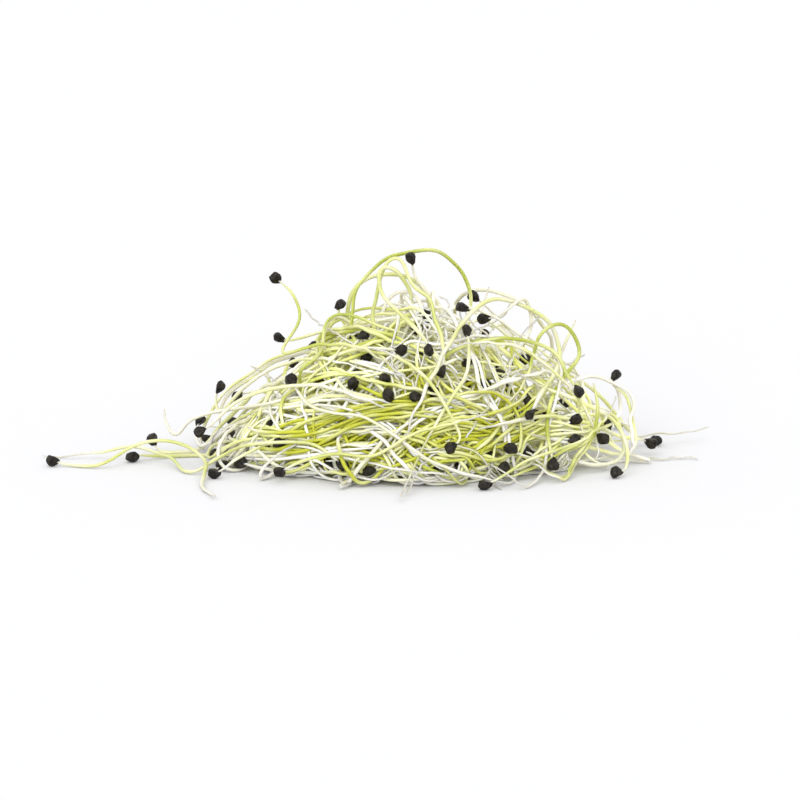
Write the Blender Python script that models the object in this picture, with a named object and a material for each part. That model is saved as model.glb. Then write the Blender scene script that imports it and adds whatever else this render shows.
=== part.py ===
"""A loose heap of onion sprouts: black seed husks, green stems and pale root ends, tangled into one heap.

A sprout is a strand with its husk at the first end and its root at the last. The sprouts that stand clear
in the photo follow routes read off it by eye. Others, for the back and the sides, have routes of their
own. The rest are grown by a seeded rule, start in the heap's core and are fused with it. Every strand is
then bent clear of the ones that it would cross. Lengths are in millimetres until a mesh is made."""

import math
import random

import bmesh
import bpy
import numpy as np
from mathutils import Matrix, Vector

MM = 0.001

# Sprouts
STEM_RADIUS = 0.5
ROOT_RADIUS = 0.45
STRAND_SIDES_EXTRA = 0
STRAND_POINTS = 25
HUSK_LENGTH = 3.2
HUSK_WIDTH = 2.4
HUSK_THICKNESS = 1.8
HUSK_FLAT_SIDE = 0.6
HUSK_AROUND = 8
HUSK_RINGS = 5
SEED_AROUND = 6
HUSK_ROOM = 1.25
NECK = 1.6

# The heap, as its skin over the floor, and its core
HEAP_HALF_LENGTH = 50.0
HEAP_HALF_DEPTH = 36.0
HEAP_HEIGHT = 36.0
HEAP_SLOPE = 1.7
HEAP_LUMPS = ((3.0, 1.0, 0.07), (5.0, 2.3, 0.05))
CORE_SHARE = 0.6
CORE_DEPTH = 24.0
CORE_AROUND = 20
CORE_RINGS = 10

# The rule for the strands that are grown
GROWN_STRANDS = 46
GROWN_SEED = 11
HUSKED_SHARE = 0.6
FLANK_HEIGHT = 19.0
FURTHEST_LEVEL = 1.25
GOLDEN_TURN = math.pi * (3.0 - math.sqrt(5.0))

# Clearances
CLEAR = 0.36
CLEAR_FUSED = 0.1
CORE_CLEAR = 0.5
FLOOR_CLEAR = 0.05
THINNING = 0.08
ROUNDS = 240

# How the photo was taken, to place what it shows: across and up from the heap's middle, and the depth
LOOK_DOWN = math.radians(11.0)
CAMERA_AWAY = 900.0
AIM_ACROSS = -4.5
AIM_UP = 12.6

# Routes read off the photo: across, up, and depth behind the middle, from the husk to the root
OWN_ROUTES = {
    "trail_low": [
        (-82.5, -1, -12), (-80.5, -2, -12), (-74, -2.5, -14), (-70.5, -1.5, -14), (-64, 2.5, -12),
        (-57.5, 3.5, -12), (-52, 2, -14), (-49.5, 0, -17), (-48, -2, -22), (-49, -7, -35), (-46, -9, -47),
    ],
    "trail_mid": [
        (-17.5, -2, -31), (-22.5, 2, -29), (-25.5, 3, -27), (-33.5, 3, -25), (-41, 2, -21),
        (-44.5, 0, -19), (-47, -1, -19), (-50, -4, -21), (-52, -4.5, -21), (-54, -3, -17),
        (-55, -1, -13), (-58, 0, -9), (-61, 1, -8), (-67.5, 1, -6), (-75.5, 0, -4), (-85, 0, -3),
    ],
    "trail_short": [
        (-64.5, -1, -7), (-63, 0, -6), (-59.5, 0, -4), (-52, -0.5, -2), (-48, -0.5, -2),
        (-40.5, 2, -3), (-30.5, 4.5, -10), (-19, 7, -18), (-13.5, 8, -22),
    ],
    "left_pair": [
        (-60, 3.5, 2), (-59, 1.5, 2), (-57, 0, 1), (-52, 0, 2), (-47, 3.5, 4), (-44.5, 6.5, 4),
        (-39.5, 12, 1), (-36, 15, -2), (-27, 18.5, -10), (-22, 19.5, -14),
    ],
    "left_upper": [
        (-49.5, 5.5, -14), (-47, 7, -14), (-41.5, 12, -14), (-34, 15, -16), (-24.5, 16, -20),
        (-19, 15, -22), (-8, 11, -28),
    ],
    "left_high": [
        (-45, 15.5, -2), (-46, 13.5, -2), (-45.5, 10, -2), (-44, 10.5, -4), (-39.5, 15.5, -6),
        (-32.5, 20, -8), (-23, 22, -11), (-12, 19.5, -18),
    ],
    "tall_left": [
        (-32.5, 40, 2), (-29, 37, 2), (-27, 32.5, 0), (-27.5, 29.5, -1), (-30.5, 25, -5),
        (-31, 23, -7), (-26.5, 24, -11), (-23.5, 25, -12), (-15.5, 25, -16), (-11, 23.5, -18),
        (-3.5, 18, -22),
    ],
    "left_shoulder": [
        (-31.5, 26.5, 4), (-29, 26, 3), (-19.5, 28.5, 0), (-11, 28, -2), (-7, 27.5, -4), (-2, 27, -6),
        (7, 23.5, -13),
    ],
    "top_left": [
        (-18, 34, 3), (-18.5, 32.5, 3), (-16.5, 29, 3), (-12, 26.5, 6), (-5, 26, 12), (3, 24.5, 16),
        (7, 22.5, 17),
    ],
    "top_arch": [
        (-9.5, 25, -8), (-12, 24, -8), (-15.5, 27, -5), (-15, 32.5, -1), (-14.5, 37.5, 0),
        (-9, 43.5, 3), (-6.5, 45, 3), (-4, 45.5, 4), (2, 46.5, 4), (4.5, 46, 5), (9, 42, 6),
        (11.5, 36.5, 6), (11, 31, 6), (11.5, 25, 9), (13, 21.5, 11),
    ],
    "top_middle": [
        (-2, 44.5, 0), (-1, 40, 1), (2, 37, 1), (4, 35, 2), (5.5, 29.5, 4), (7.5, 24, 8), (13, 18, 14),
    ],
    "right_arch": [
        (25, 9.5, -23), (27, 14, -17), (29, 16.5, -11), (31.5, 22, -2), (30.5, 27.5, 1), (29.5, 30, 1),
        (25.5, 33, 0), (18, 35.5, -3), (13, 33.5, -7), (9, 29, -13), (5, 22.5, -20), (3, 18.5, -24),
        (-1, 10.5, -30), (-4, 2, -34),
    ],
    "right_loop": [
        (30, -2, -27), (28.5, 4.5, -22), (29.5, 12, -14), (32.5, 18, -7), (36, 22, -3), (36, 24.5, -2),
        (33.5, 29, -2), (31.5, 30, -3), (28, 28.5, -5), (26.5, 26.5, -6), (24, 17.5, -13),
        (19.5, 11.5, -19), (16.5, 9, -22),
    ],
    "right_drop": [
        (44, 18, 2), (43, 16, 2), (46.5, 13.5, 1), (48, 6.5, -1), (48.5, 3, -3), (47.5, 1, -5),
        (45, 0.5, -8), (38, 2, -15), (34, 3, -18), (25.5, 5.5, -23),
    ],
    "right_bow": [
        (23.5, 21.5, -3), (22.5, 16.5, 1), (24.5, 14.5, 2), (30.5, 15.5, 4), (38, 18, 6), (44, 16, 5),
        (45, 9.5, 3), (40.5, 4.5, -2), (35.5, 0.5, -11),
    ],
    "right_low": [
        (52, 3, -1), (49.5, 4, -1), (44.5, 4.5, -4), (38.5, 7, -10), (31.5, 8.5, -16), (22.5, 8, -22),
        (13, 6, -28),
    ],
    "right_root": [
        (23, 0, -12), (29, 2, 0), (36, 3.5, 6), (45.5, 3.5, 8), (52, 4.5, 10), (58.5, 5, 12),
        (65, 6.5, 16),
    ],
    "right_front": [
        (44.5, -5, -24), (46, -3.5, -23), (46.5, 2, -18), (43.5, 8, -12), (37.5, 11.5, -9),
        (29.5, 15, -12), (21.5, 19, -16),
    ],
    "right_low_root": [
        (20.5, 1.5, -29), (23.5, 0, -27), (31.5, -1.5, -18), (40.5, -1.5, -11), (47, 0, -5),
        (50.5, -1, -5), (54.5, -1, -6), (58.5, -0.5, -4), (62.5, -1, -5),
    ],
    "right_pair": [
        (41.5, 4, -15), (38.5, 8.5, -15), (34.5, 15, -13), (31.5, 18, -13), (25, 23, -15),
        (20.5, 25, -17), (12, 25.5, -20), (8, 24.5, -22),
    ],
    "front_right": [
        (14.5, -7, -36), (18.5, -4.5, -35), (21, -3, -33), (24, -1, -32), (34, 2.5, -26),
        (38, 4.5, -22), (43, 10.5, -11), (44, 13.5, -6),
    ],
    "front_middle": [
        (7, 2, -36), (9, 3.5, -35), (8.5, 6, -34), (4, 14, -28), (-1.5, 20, -23), (-8, 23.5, -19),
        (-12, 24, -17),
    ],
    "front_root": [
        (10.5, 28, -15), (11, 25, -18), (10.5, 18.5, -23), (7, 13, -27), (1.5, 3.5, -33),
        (-2.5, -5, -40), (-4.5, -9.5, -50),
    ],
    "front_white": [
        (-29, 17, -15), (-25, 11.5, -22), (-18.5, 9.5, -28), (-13, 9, -30), (-5.5, 4.5, -34),
        (1, -0.5, -36), (11, -4.5, -36), (20.5, -6.5, -35),
    ],
    "front_low": [
        (-31.5, -3.5, -30), (-26, -1, -32), (-18.5, 0.5, -34), (-10.5, 0, -36), (-1.5, 5, -36),
        (6, 7, -36), (15.5, 9.5, -32),
    ],
}

# Loops and root tips that rise out of the heap: the same, but the last end is carried on into the core
FUSED_ROUTES = {
    "left_white": [
        (-57.5, 10.5, -3), (-57.5, 8.5, -3), (-55, 4, -3), (-52.5, 7.5, -3), (-48, 9.5, -6),
        (-42.5, 10.5, -8), (-35.5, 11.5, -12), (-31.5, 12.5, -13), (-27, 13.5, -12),
    ],
    "knee": [
        (-3, 27.5, -14), (-10, 29.5, -10), (-13, 31, -9), (-18.5, 32, -7), (-21.5, 29.5, -8),
        (-22, 24, -11), (-24.5, 21, -14), (-27, 19, -14),
    ],
    "top_inner": [
        (-7, 13.5, -25), (-12, 18.5, -17), (-17, 25, -1), (-16.5, 31, 6), (-16, 34, 6), (-16, 36, 7),
        (-12.5, 40, 9), (-5.5, 41, 9), (0, 39, 9), (2, 36.5, 10), (3, 30.5, 12),
    ],
    "top_fold": [
        (5, 19, -20), (5.5, 22.5, -17), (4.5, 28.5, -12), (3, 31, -9), (3, 34, -8), (2, 36, -7),
        (0, 37, -6), (-2, 38.5, -6), (-4.5, 45, -4), (-8, 43, -5), (-9.5, 37, -7), (-10.5, 33.5, -7),
    ],
    "inner_loop": [
        (2, 24, -21), (1, 26.5, -18), (-4, 31.5, -12), (-8, 35.5, -10), (-9, 37.5, -10),
        (-9, 42.5, -8), (-5, 41.5, -6), (-2, 36.5, -4), (-1.5, 34, -3),
    ],
    "green_arc": [
        (35.5, 14.5, -15), (32.5, 18.5, -12), (32, 21, -11), (28.5, 24.5, -10), (18.5, 26.5, -13),
        (7, 23.5, -16),
    ],
    "right_upright": [
        (39, 16.5, -12), (40, 10.5, -14), (38, 3.5, -18), (32, 1.5, -19), (29, 2, -18),
    ],
    "spire": [(35, 30.5, 5), (31.5, 22.5, 2), (31, 19, 0), (26, 11.5, -6)],
    "high_root": [(15.5, 38, 8), (14, 33.5, 5), (9, 25, -3)],
    "right_high": [
        (14.5, 31, -2), (17, 31, -2), (19, 32.5, -3), (22.5, 35.5, -2), (24.5, 34, 0), (25, 28.5, 1),
        (20.5, 22, -1),
    ],
}
NO_HUSK = ("left_white", "knee", "right_upright", "spire", "high_root")

# Sprouts that the photo can't show, at the back and the sides: across, depth and height
BACK_ROUTES = {
    "back_trail": [
        (-6, 50, 1.6), (-2, 44, 1.2), (3, 38, 1.5), (6, 33, 6), (5, 28, 12), (0, 23, 18), (-8, 19, 22),
        (-17, 16, 23), (-26, 14, 20), (-34, 15, 14),
    ],
    "back_low": [
        (33, 36, 1.6), (26, 36, 2.5), (18, 35, 4), (8, 34, 5), (-2, 33, 5), (-12, 31, 5), (-22, 29, 4),
        (-32, 26, 2.5), (-41, 26, 1.2), (-49, 29, 0.9),
    ],
    "back_arch": [
        (22, 30, 12), (16, 32, 16), (10, 30, 22), (8, 25, 29), (10, 18, 34), (15, 12, 36),
        (22, 10, 34), (28, 13, 28), (31, 18, 20), (34, 22, 12), (38, 26, 5),
    ],
    "back_right": [
        (46, 30, 1.6), (43, 25, 4), (40, 20, 8), (36, 18, 13), (30, 19, 18), (22, 21, 20), (13, 23, 20),
        (4, 25, 17), (-5, 28, 13), (-13, 31, 8),
    ],
}

COLOURS = {
    "stem_green": ((0.50, 0.62, 0.10, 1.0), 0.4),
    "tangle_pale": ((0.72, 0.74, 0.34, 1.0), 0.45),
    "husk_black": ((0.02, 0.02, 0.018, 1.0), 0.55),
}


def dot(a, b):
    return a[..., 0] * b[..., 0] + a[..., 1] * b[..., 1] + a[..., 2] * b[..., 2]


def unit(v):
    return v / math.sqrt(v[0] ** 2 + v[1] ** 2 + v[2] ** 2)


def ramp(value, low, high):
    t = min(max((value - low) / (high - low), 0.0), 1.0)
    return t * t * (3.0 - 2.0 * t)


def seen_at(across, up, depth):
    """The point that shows that far across and up in the photo, at that depth behind the heap's middle."""
    aim = np.array([AIM_ACROSS, 0.0, AIM_UP / math.cos(LOOK_DOWN)])
    camera = aim + CAMERA_AWAY * np.array([0.0, -math.cos(LOOK_DOWN), math.sin(LOOK_DOWN)])
    upward = np.array([0.0, math.sin(LOOK_DOWN), math.cos(LOOK_DOWN)])
    target = aim + np.array([across - AIM_ACROSS, 0.0, 0.0]) + (up - AIM_UP) * upward
    return camera + (depth - camera[1]) / (target[1] - camera[1]) * (target - camera)


def lumps(around):
    return 1.0 + sum(size * np.sin(times * around + turn) for times, turn, size in HEAP_LUMPS)


def level(p, share=1.0):
    """1 on the heap's skin, or on the core's for its share, and less inside."""
    x, y, z = p[..., 0] / share, p[..., 1] / share, p[..., 2] / share
    reach = np.sqrt((x / HEAP_HALF_LENGTH) ** 2 + (y / HEAP_HALF_DEPTH) ** 2) / lumps(np.arctan2(y, x))
    return z / HEAP_HEIGHT + reach**HEAP_SLOPE


def outward(p):
    """The way out of the heap, as unit vectors."""
    x, y = p[..., 0] / HEAP_HALF_LENGTH**2, p[..., 1] / HEAP_HALF_DEPTH**2
    z = (p[..., 2] + 6.0) / HEAP_HEIGHT**2
    size = np.sqrt(x * x + y * y + z * z) + 1e-12
    return np.stack([x / size, y / size, z / size], -1)


def smoothed(points, per=12):
    """A smooth curve through the points, with that many steps for each."""
    p = np.asarray(points, float)
    p = np.vstack([2 * p[0] - p[1], p, 2 * p[-1] - p[-2]])
    run = []
    for a, b, c, d in zip(p[:-3], p[1:-2], p[2:-1], p[3:]):
        for step in range(per):
            t = step / per
            run.append(
                0.5 * (2 * b + (c - a) * t + (2 * a - 5 * b + 4 * c - d) * t * t
                       + (3 * b - a - 3 * c + d) * t**3)
            )
    run.append(p[-2])
    return np.array(run)


def step_lengths(line):
    steps = line[1:] - line[:-1]
    return np.sqrt(dot(steps, steps))


def at_lengths(line, wanted):
    along = np.concatenate([[0.0], np.cumsum(step_lengths(line))])
    return np.stack([np.interp(wanted, along, line[:, k]) for k in range(3)], 1)


def strand_points(line, husked):
    """STRAND_POINTS points along the line, closer together where it bends. With a husk, the first two are
    inside the husk and the third is where the stem starts."""
    fine = 160
    total = step_lengths(line).sum()
    spread = np.linspace(0.0, total, fine + 1)
    even = at_lengths(line, spread)
    ways = even[1:] - even[:-1]
    ways = ways / np.sqrt(dot(ways, ways))[:, None]
    turns = ways[1:] - ways[:-1]
    bend = np.sqrt(dot(turns, turns)) / (total / fine)
    bend = np.convolve(np.pad(bend, 6, mode="edge"), np.full(11, 1 / 11), mode="valid")
    weight = 0.35 + np.sqrt(np.minimum(bend, 0.35) / 0.1)
    grown = np.concatenate([[0.0], np.cumsum(0.5 * (weight[1:] + weight[:-1]))])
    if not husked:
        return at_lengths(line, np.interp(np.linspace(0.0, grown[-1], STRAND_POINTS), grown, spread))
    half = 0.5 * HUSK_LENGTH - HUSK_ROOM + 0.05
    start = np.interp(half + NECK, spread, grown)
    stem = at_lengths(line, np.interp(np.linspace(start, grown[-1], STRAND_POINTS - 2), grown, spread))
    way = unit(line[0] - at_lengths(line, np.array([2.0 * half]))[0])
    return np.vstack([line[0] + way * half, line[0] - way * half, stem])


def into_core(points):
    """The points of a route, carried on from its last end until they are well inside the core."""
    points = list(points)
    way = unit(points[-1] - points[-2])
    while level(points[-1], CORE_SHARE) > 0.8:
        points.append(points[-1] - outward(points[-1]) * 4.0 + way * 1.6)
    return points


def random_waves(rng, size, count):
    return [
        (rng.uniform(0.4, 1.0) * size, 2 * math.pi / rng.uniform(22, 60), rng.uniform(0, 2 * math.pi))
        for _ in range(count)
    ]


def waving(waves, grown):
    return sum(size * math.sin(rate * grown + turn) for size, rate, turn in waves)


def curly_line(rng, count):
    """A strand that rises from the core near the heap's top. It turns by smooth random amounts, and is
    steered to stay under the skin, over the floor and outside the core."""
    around, reach = count * GOLDEN_TURN + rng.uniform(-0.4, 0.4), rng.uniform(0.05, 0.7)
    x = HEAP_HALF_LENGTH * CORE_SHARE * reach * math.cos(around)
    y = HEAP_HALF_DEPTH * CORE_SHARE * reach * math.sin(around)
    top = HEAP_HEIGHT * CORE_SHARE * (1.0 - reach**HEAP_SLOPE)
    p = np.array([x, y, top * rng.uniform(0.35, 0.8)])
    aside = [rng.choice((-0.8, 0.8)), rng.uniform(-0.8, 0.8), rng.uniform(0.0, 0.6)]
    way = unit(outward(p) + np.array(aside))
    side = unit(np.cross(way, [0.13, 0.29, 0.95]))
    curl, skin, length = rng.uniform(0.05, 0.09), rng.uniform(0.97, 1.08), rng.uniform(50, 75)
    sideways, upright = random_waves(rng, curl, 2), random_waves(rng, curl, 2)
    run = [p]
    for grown in range(int(length)):
        away = outward(p)
        turn = waving(sideways, grown) * side + waving(upright, grown) * np.cross(way, side)
        turn = turn - away * 0.3 * ramp(float(level(p)), 0.86 * skin, 1.15 * skin)
        turn = turn + away * 0.16 * (1.0 - ramp(float(level(p, CORE_SHARE)), 1.0, 1.25))
        turn = turn + np.array([0.0, 0.0, 0.2 * (1.0 - ramp(p[2], 1.0, 5.0))])
        way = unit(way + turn)
        side = unit(side - way * float(side @ way))
        p = p + way
        run.append(p)
    return np.array(run)


def flank_line(rng, count):
    """A strand laid along the heap's front or back. It starts in the core, runs round the heap in one of its
    layers at a height that changes slowly, and its free end stands out a little."""
    length, rise, turning = rng.uniform(50, 78), rng.uniform(-0.2, 0.2), rng.choice((-1.0, 1.0))
    height = 1.0 + FLANK_HEIGHT * ((count * 0.618) % 1.0) ** 1.15
    layer = 0.68 + 0.3 * ((count * 0.755) % 1.0)
    facing = 0.5 * math.pi if count % 6 == 4 else -0.5 * math.pi
    around = facing + rng.uniform(-0.6, 0.6) - turning * 0.5 * length / 36.0
    lifts, layers = random_waves(rng, 1.3, 2), random_waves(rng, 0.04, 2)
    stands_out = rng.uniform(0.0, 0.22)
    run = []
    for grown in range(int(length)):
        over = height + rise * (grown - 0.5 * length) + waving(lifts, grown) - 0.9
        z = 0.9 + 0.5 * (over + math.sqrt(over * over + 3.0))
        at = layer + waving(layers, grown) + stands_out * ramp(grown, length - 25, length)
        at = 0.8 * CORE_SHARE + (at - 0.8 * CORE_SHARE) * ramp(grown, 0.0, 16.0)
        reach = at * max(1.0 - z / (at * HEAP_HEIGHT), 0.03) ** (1.0 / HEAP_SLOPE)
        x, y = HEAP_HALF_LENGTH * math.cos(around), HEAP_HALF_DEPTH * math.sin(around)
        reach *= float(lumps(np.arctan2(y, x)))
        run.append([x * reach, y * reach, z])
        arm = math.hypot(HEAP_HALF_LENGTH * math.sin(around), HEAP_HALF_DEPTH * math.cos(around))
        around += turning / max(reach * arm, 6.0)
    return np.array(run)


def draped_line(rng, count):
    """A strand draped over the heap in one of its layers. Seen from above it is a wavy line, mostly along
    the heap, whose middles are spread evenly. It starts in the core too."""
    spread, around = math.sqrt((count + 0.5) / GROWN_STRANDS), count * GOLDEN_TURN
    length, heading = rng.uniform(55, 80), rng.gauss(0.0, 0.55) + rng.choice((0.0, math.pi))
    x = 0.94 * HEAP_HALF_LENGTH * spread * math.cos(around) - 0.5 * length * math.cos(heading)
    y = HEAP_HALF_DEPTH * spread * math.sin(around) - 0.5 * length * math.sin(heading)
    layer = 0.76 + 0.25 * ((count * 0.755) % 1.0)
    bends, layers = random_waves(rng, 0.02, 2), random_waves(rng, 0.03, 2)
    stands_out = rng.uniform(0.0, 0.2)
    run = []
    for grown in range(int(length)):
        at = layer + waving(layers, grown)
        reach = float(level(np.array([x / at, y / at, 0.0])))
        over = at * HEAP_HEIGHT * (1.0 - reach) - 0.9
        z = 0.9 + 0.5 * (over + math.sqrt(over * over + 12.0))
        out = 0.75 * CORE_SHARE / at + (1.0 - 0.75 * CORE_SHARE / at) * ramp(grown, 0.0, 18.0)
        out += stands_out * ramp(grown, length - 22, length)
        run.append([x * out, y * out, z * out])
        inward = math.atan2(-y, -x) - heading
        heading += waving(bends, grown) + 0.09 * math.sin(inward) * ramp(reach, 0.75, 1.3)
        x += 0.82 * math.cos(heading)
        y += 0.82 * math.sin(heading)
    return np.array(run)


def grown_line(rng, count):
    """A grown strand, grown again until it stays in the heap and over the floor."""
    grow = (curly_line, draped_line, flank_line, draped_line, flank_line, flank_line)[count % 6]
    while True:
        line = grow(rng, count)
        if level(line).max() < FURTHEST_LEVEL and line[:, 2].min() > 0.3:
            return line


def near_pairs(middles, reach):
    """The pairs of points that are less than reach apart, found on a grid."""
    cell = np.floor(middles / reach).astype(np.int64)
    cell -= cell.min(0) - 1
    span = cell.max(0) + 2
    key = (cell[:, 0] * span[1] + cell[:, 1]) * span[2] + cell[:, 2]
    order = np.argsort(key, kind="stable")
    ranked = key[order]
    first, second = [], []
    for dx in (0, 1):
        for dy in (-1, 0, 1):
            for dz in (-1, 0, 1):
                shift = (dx * span[1] + dy) * span[2] + dz
                if shift < 0:
                    continue
                low = np.searchsorted(ranked, key + shift, side="left")
                count = np.searchsorted(ranked, key + shift, side="right") - low
                i = np.repeat(np.arange(len(key)), count)
                within = np.arange(count.sum()) - np.repeat(np.cumsum(count) - count, count)
                j = order[np.repeat(low, count) + within]
                new = i < j if shift == 0 else np.ones(len(i), bool)
                first.append(i[new])
                second.append(j[new])
    i, j = np.concatenate(first), np.concatenate(second)
    apart = middles[i] - middles[j]
    near = dot(apart, apart) < reach * reach
    return i[near], j[near]


def closest(a_start, a_end, b_start, b_end):
    """How far along each of two segments the point nearest the other one is, from 0 to 1."""
    a_way, b_way, apart = a_end - a_start, b_end - b_start, a_start - b_start
    aa, bb, ab = dot(a_way, a_way), dot(b_way, b_way), dot(a_way, b_way)
    a_apart, b_apart = dot(a_way, apart), dot(b_way, apart)
    s = np.clip((ab * b_apart - a_apart * bb) / np.maximum(aa * bb - ab * ab, 1e-9 * aa * bb), 0, 1)
    t = np.clip((ab * s + b_apart) / bb, 0, 1)
    return np.clip((ab * t - a_apart) / aa, 0, 1), t


def bend_clear(lines, radii, fused):
    """Bends the strands apart where they would cross, keeping their lengths and most of their shape. Two
    fused ones may come closer, and may meet inside the core."""
    pts = lines.copy()
    strands, points, _ = pts.shape
    rest = np.sqrt(dot(pts[:, 1:] - pts[:, :-1], pts[:, 1:] - pts[:, :-1]))
    rest_bend = pts[:, 1:-1] - 0.5 * (pts[:, :-2] + pts[:, 2:])
    strand = np.repeat(np.arange(strands), points - 1)
    place = np.tile(np.arange(points - 1), strands)
    along = np.cumsum(rest, 1).ravel()
    thick = radii.ravel()
    point_radius = np.maximum(
        np.pad(radii, ((0, 0), (1, 0)), mode="edge"), np.pad(radii, ((0, 0), (0, 1)), mode="edge")
    )
    reach = float(rest.max() + 2 * thick.max() + CLEAR + 0.6)
    core_depth = CORE_SHARE * CORE_DEPTH
    own = (~fused).astype(float)[:, None]
    for turn in range(ROUNDS):
        if turn % 6 == 0:
            middles = (0.5 * (pts[:, 1:] + pts[:, :-1])).reshape(-1, 3)
            i, j = near_pairs(middles, reach)
            apart = (np.abs(place[i] - place[j]) > 2) & (np.abs(along[i] - along[j]) > 7.0)
            inside = level(middles, CORE_SHARE) < 0.97
            both = fused[strand[i]] & fused[strand[j]]
            used = ((strand[i] != strand[j]) | apart) & ~(both & (inside[i] | inside[j]))
            i, j, both = i[used], j[used], both[used]
            first, second = strand[i] * points + place[i], strand[j] * points + place[j]
            wanted = thick[i] + thick[j] + np.where(both, CLEAR_FUSED, CLEAR)
        flat = pts.reshape(-1, 3)
        s, t = closest(flat[first], flat[first + 1], flat[second], flat[second + 1])
        gap = flat[first] + (flat[first + 1] - flat[first]) * s[:, None]
        gap = gap - flat[second] - (flat[second + 1] - flat[second]) * t[:, None]
        distance = np.sqrt(dot(gap, gap))
        hit = distance < wanted
        a, b, s, t, distance = first[hit], second[hit], s[hit], t[hit], distance[hit]
        way = gap[hit] / np.maximum(distance, 1e-9)[:, None]
        crossing = np.cross(flat[a + 1] - flat[a], flat[b + 1] - flat[b])
        crossing = crossing / np.sqrt(dot(crossing, crossing) + 1e-12)[:, None]
        way = np.where((distance < 0.05)[:, None], crossing, way)
        push = (0.5 * (wanted[hit] - distance))[:, None] * way
        moves, count = np.zeros_like(flat), np.zeros(len(flat))
        for at, weight, sign in ((a, 1 - s, 1), (a + 1, s, 1), (b, 1 - t, -1), (b + 1, t, -1)):
            for axis in range(3):
                moves[:, axis] += np.bincount(at, push[:, axis] * weight * sign, len(flat))
            count += np.bincount(at, weight, len(flat))
        pts = (flat + moves * (1.6 / np.maximum(count, 1.0))[:, None]).reshape(pts.shape)
        # Back towards the first shape and place, less so in the last rounds
        bend = pts[:, 1:-1] - 0.5 * (pts[:, :-2] + pts[:, 2:]) - rest_bend
        fix = np.zeros_like(pts)
        fix[:, 1:-1] -= bend * 0.5
        fix[:, :-2] += bend * 0.25
        fix[:, 2:] += bend * 0.25
        ease = 1.0 if turn < ROUNDS * 0.6 else 0.3
        pts = pts + ease * (0.25 * fix + 0.02 * (lines - pts))
        for odd in (0, 1, 0, 1):
            start, end = pts[:, odd:-1:2], pts[:, odd + 1::2]
            way = end - start
            size = np.sqrt(dot(way, way)) + 1e-12
            shift = way * ((size - rest[:, odd::2]) / size * 0.5)[..., None]
            start += shift
            end -= shift
        pts[..., 2] = np.maximum(pts[..., 2], point_radius + FLOOR_CLEAR)
        short = 1.0 + (point_radius + CORE_CLEAR) / core_depth - level(pts, CORE_SHARE)
        pts = pts + outward(pts) * (np.clip(short, 0.0, 0.2) * core_depth * own)[..., None]
    return pts


def all_strands():
    """Names, points, husked and fused, for every strand of the heap before they are bent clear."""
    names, lines, husked, fused = [], [], [], []

    def add(name, line, has_husk, is_fused):
        names.append(name)
        lines.append(strand_points(line, has_husk))
        husked.append(has_husk)
        fused.append(is_fused)

    for name, route in OWN_ROUTES.items():
        add(name, smoothed([seen_at(*p) for p in route]), True, False)
    for name, route in BACK_ROUTES.items():
        add(name, smoothed(route), True, False)
    for name, route in FUSED_ROUTES.items():
        add(name, smoothed(into_core([seen_at(*p) for p in route])), name not in NO_HUSK, True)
    rng = random.Random(GROWN_SEED)
    for count in range(GROWN_STRANDS):
        has_husk = rng.random() < HUSKED_SHARE
        add(f"grown_{count + 1:02d}", grown_line(rng, count)[::-1], has_husk, True)
    return names, np.round(np.array(lines), 4), np.array(husked), np.array(fused)


def clear_scene():
    for obj in list(bpy.data.objects):
        bpy.data.objects.remove(obj, do_unlink=True)
    for collection in list(bpy.data.collections):
        bpy.data.collections.remove(collection)


def new_collection(name):
    collection = bpy.data.collections.new(name)
    bpy.context.scene.collection.children.link(collection)
    return collection


def material(name):
    made = bpy.data.materials.get(name)
    if made is None:
        made = bpy.data.materials.new(name)
        made.use_nodes = True
        shader = made.node_tree.nodes["Principled BSDF"]
        colour, roughness = COLOURS[name]
        shader.inputs["Base Color"].default_value = colour
        shader.inputs["Roughness"].default_value = roughness
        shader.inputs["Metallic"].default_value = 0.0
        made.diffuse_color = colour
    return made


def link(mesh, name, collection, material_name):
    for polygon in mesh.polygons:
        polygon.use_smooth = True
    mesh.materials.clear()
    mesh.materials.append(material(material_name))
    obj = bpy.data.objects.new(name, mesh)
    collection.objects.link(obj)
    return obj


def evaluated_mesh(obj):
    bpy.context.view_layer.update()
    graph = bpy.context.evaluated_depsgraph_get()
    return bpy.data.meshes.new_from_object(obj.evaluated_get(graph))


def needed_points(points):
    """The indices of the points that the run needs to stay within THINNING of its shape."""
    kept, spans = {0, len(points) - 1}, [(0, len(points) - 1)]
    while spans:
        start, end = spans.pop()
        if end - start < 2:
            continue
        way = points[end] - points[start]
        between = points[start + 1:end] - points[start]
        along = np.clip(between @ way / (way @ way), 0.0, 1.0)
        off = between - along[:, None] * way
        off = np.sqrt(dot(off, off))
        if off.max() > THINNING:
            middle = start + 1 + int(off.argmax())
            kept.add(middle)
            spans += [(start, middle), (middle, end)]
    return sorted(kept)


def strand_tube(name, points, radii, collection, material_name):
    """A capped tube along the points, made as a bevelled curve."""
    curve = bpy.data.curves.new(name + "_curve", "CURVE")
    curve.dimensions = "3D"
    curve.bevel_depth = MM
    curve.bevel_resolution = STRAND_SIDES_EXTRA
    curve.use_fill_caps = True
    kept = needed_points(points)
    spline = curve.splines.new("POLY")
    spline.points.add(len(kept) - 1)
    for knot, point, radius in zip(spline.points, points[kept], radii[kept]):
        knot.co = (point[0] * MM, point[1] * MM, point[2] * MM, 1.0)
        knot.radius = radius
    guide = bpy.data.objects.new(name + "_curve", curve)
    collection.objects.link(guide)
    mesh = evaluated_mesh(guide)
    bpy.data.objects.remove(guide, do_unlink=True)
    shape = bmesh.new()
    shape.from_mesh(mesh)
    bmesh.ops.remove_doubles(shape, verts=shape.verts, dist=0.00001)
    shape.to_mesh(mesh)
    shape.free()
    return link(mesh, name, collection, material_name)


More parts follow.
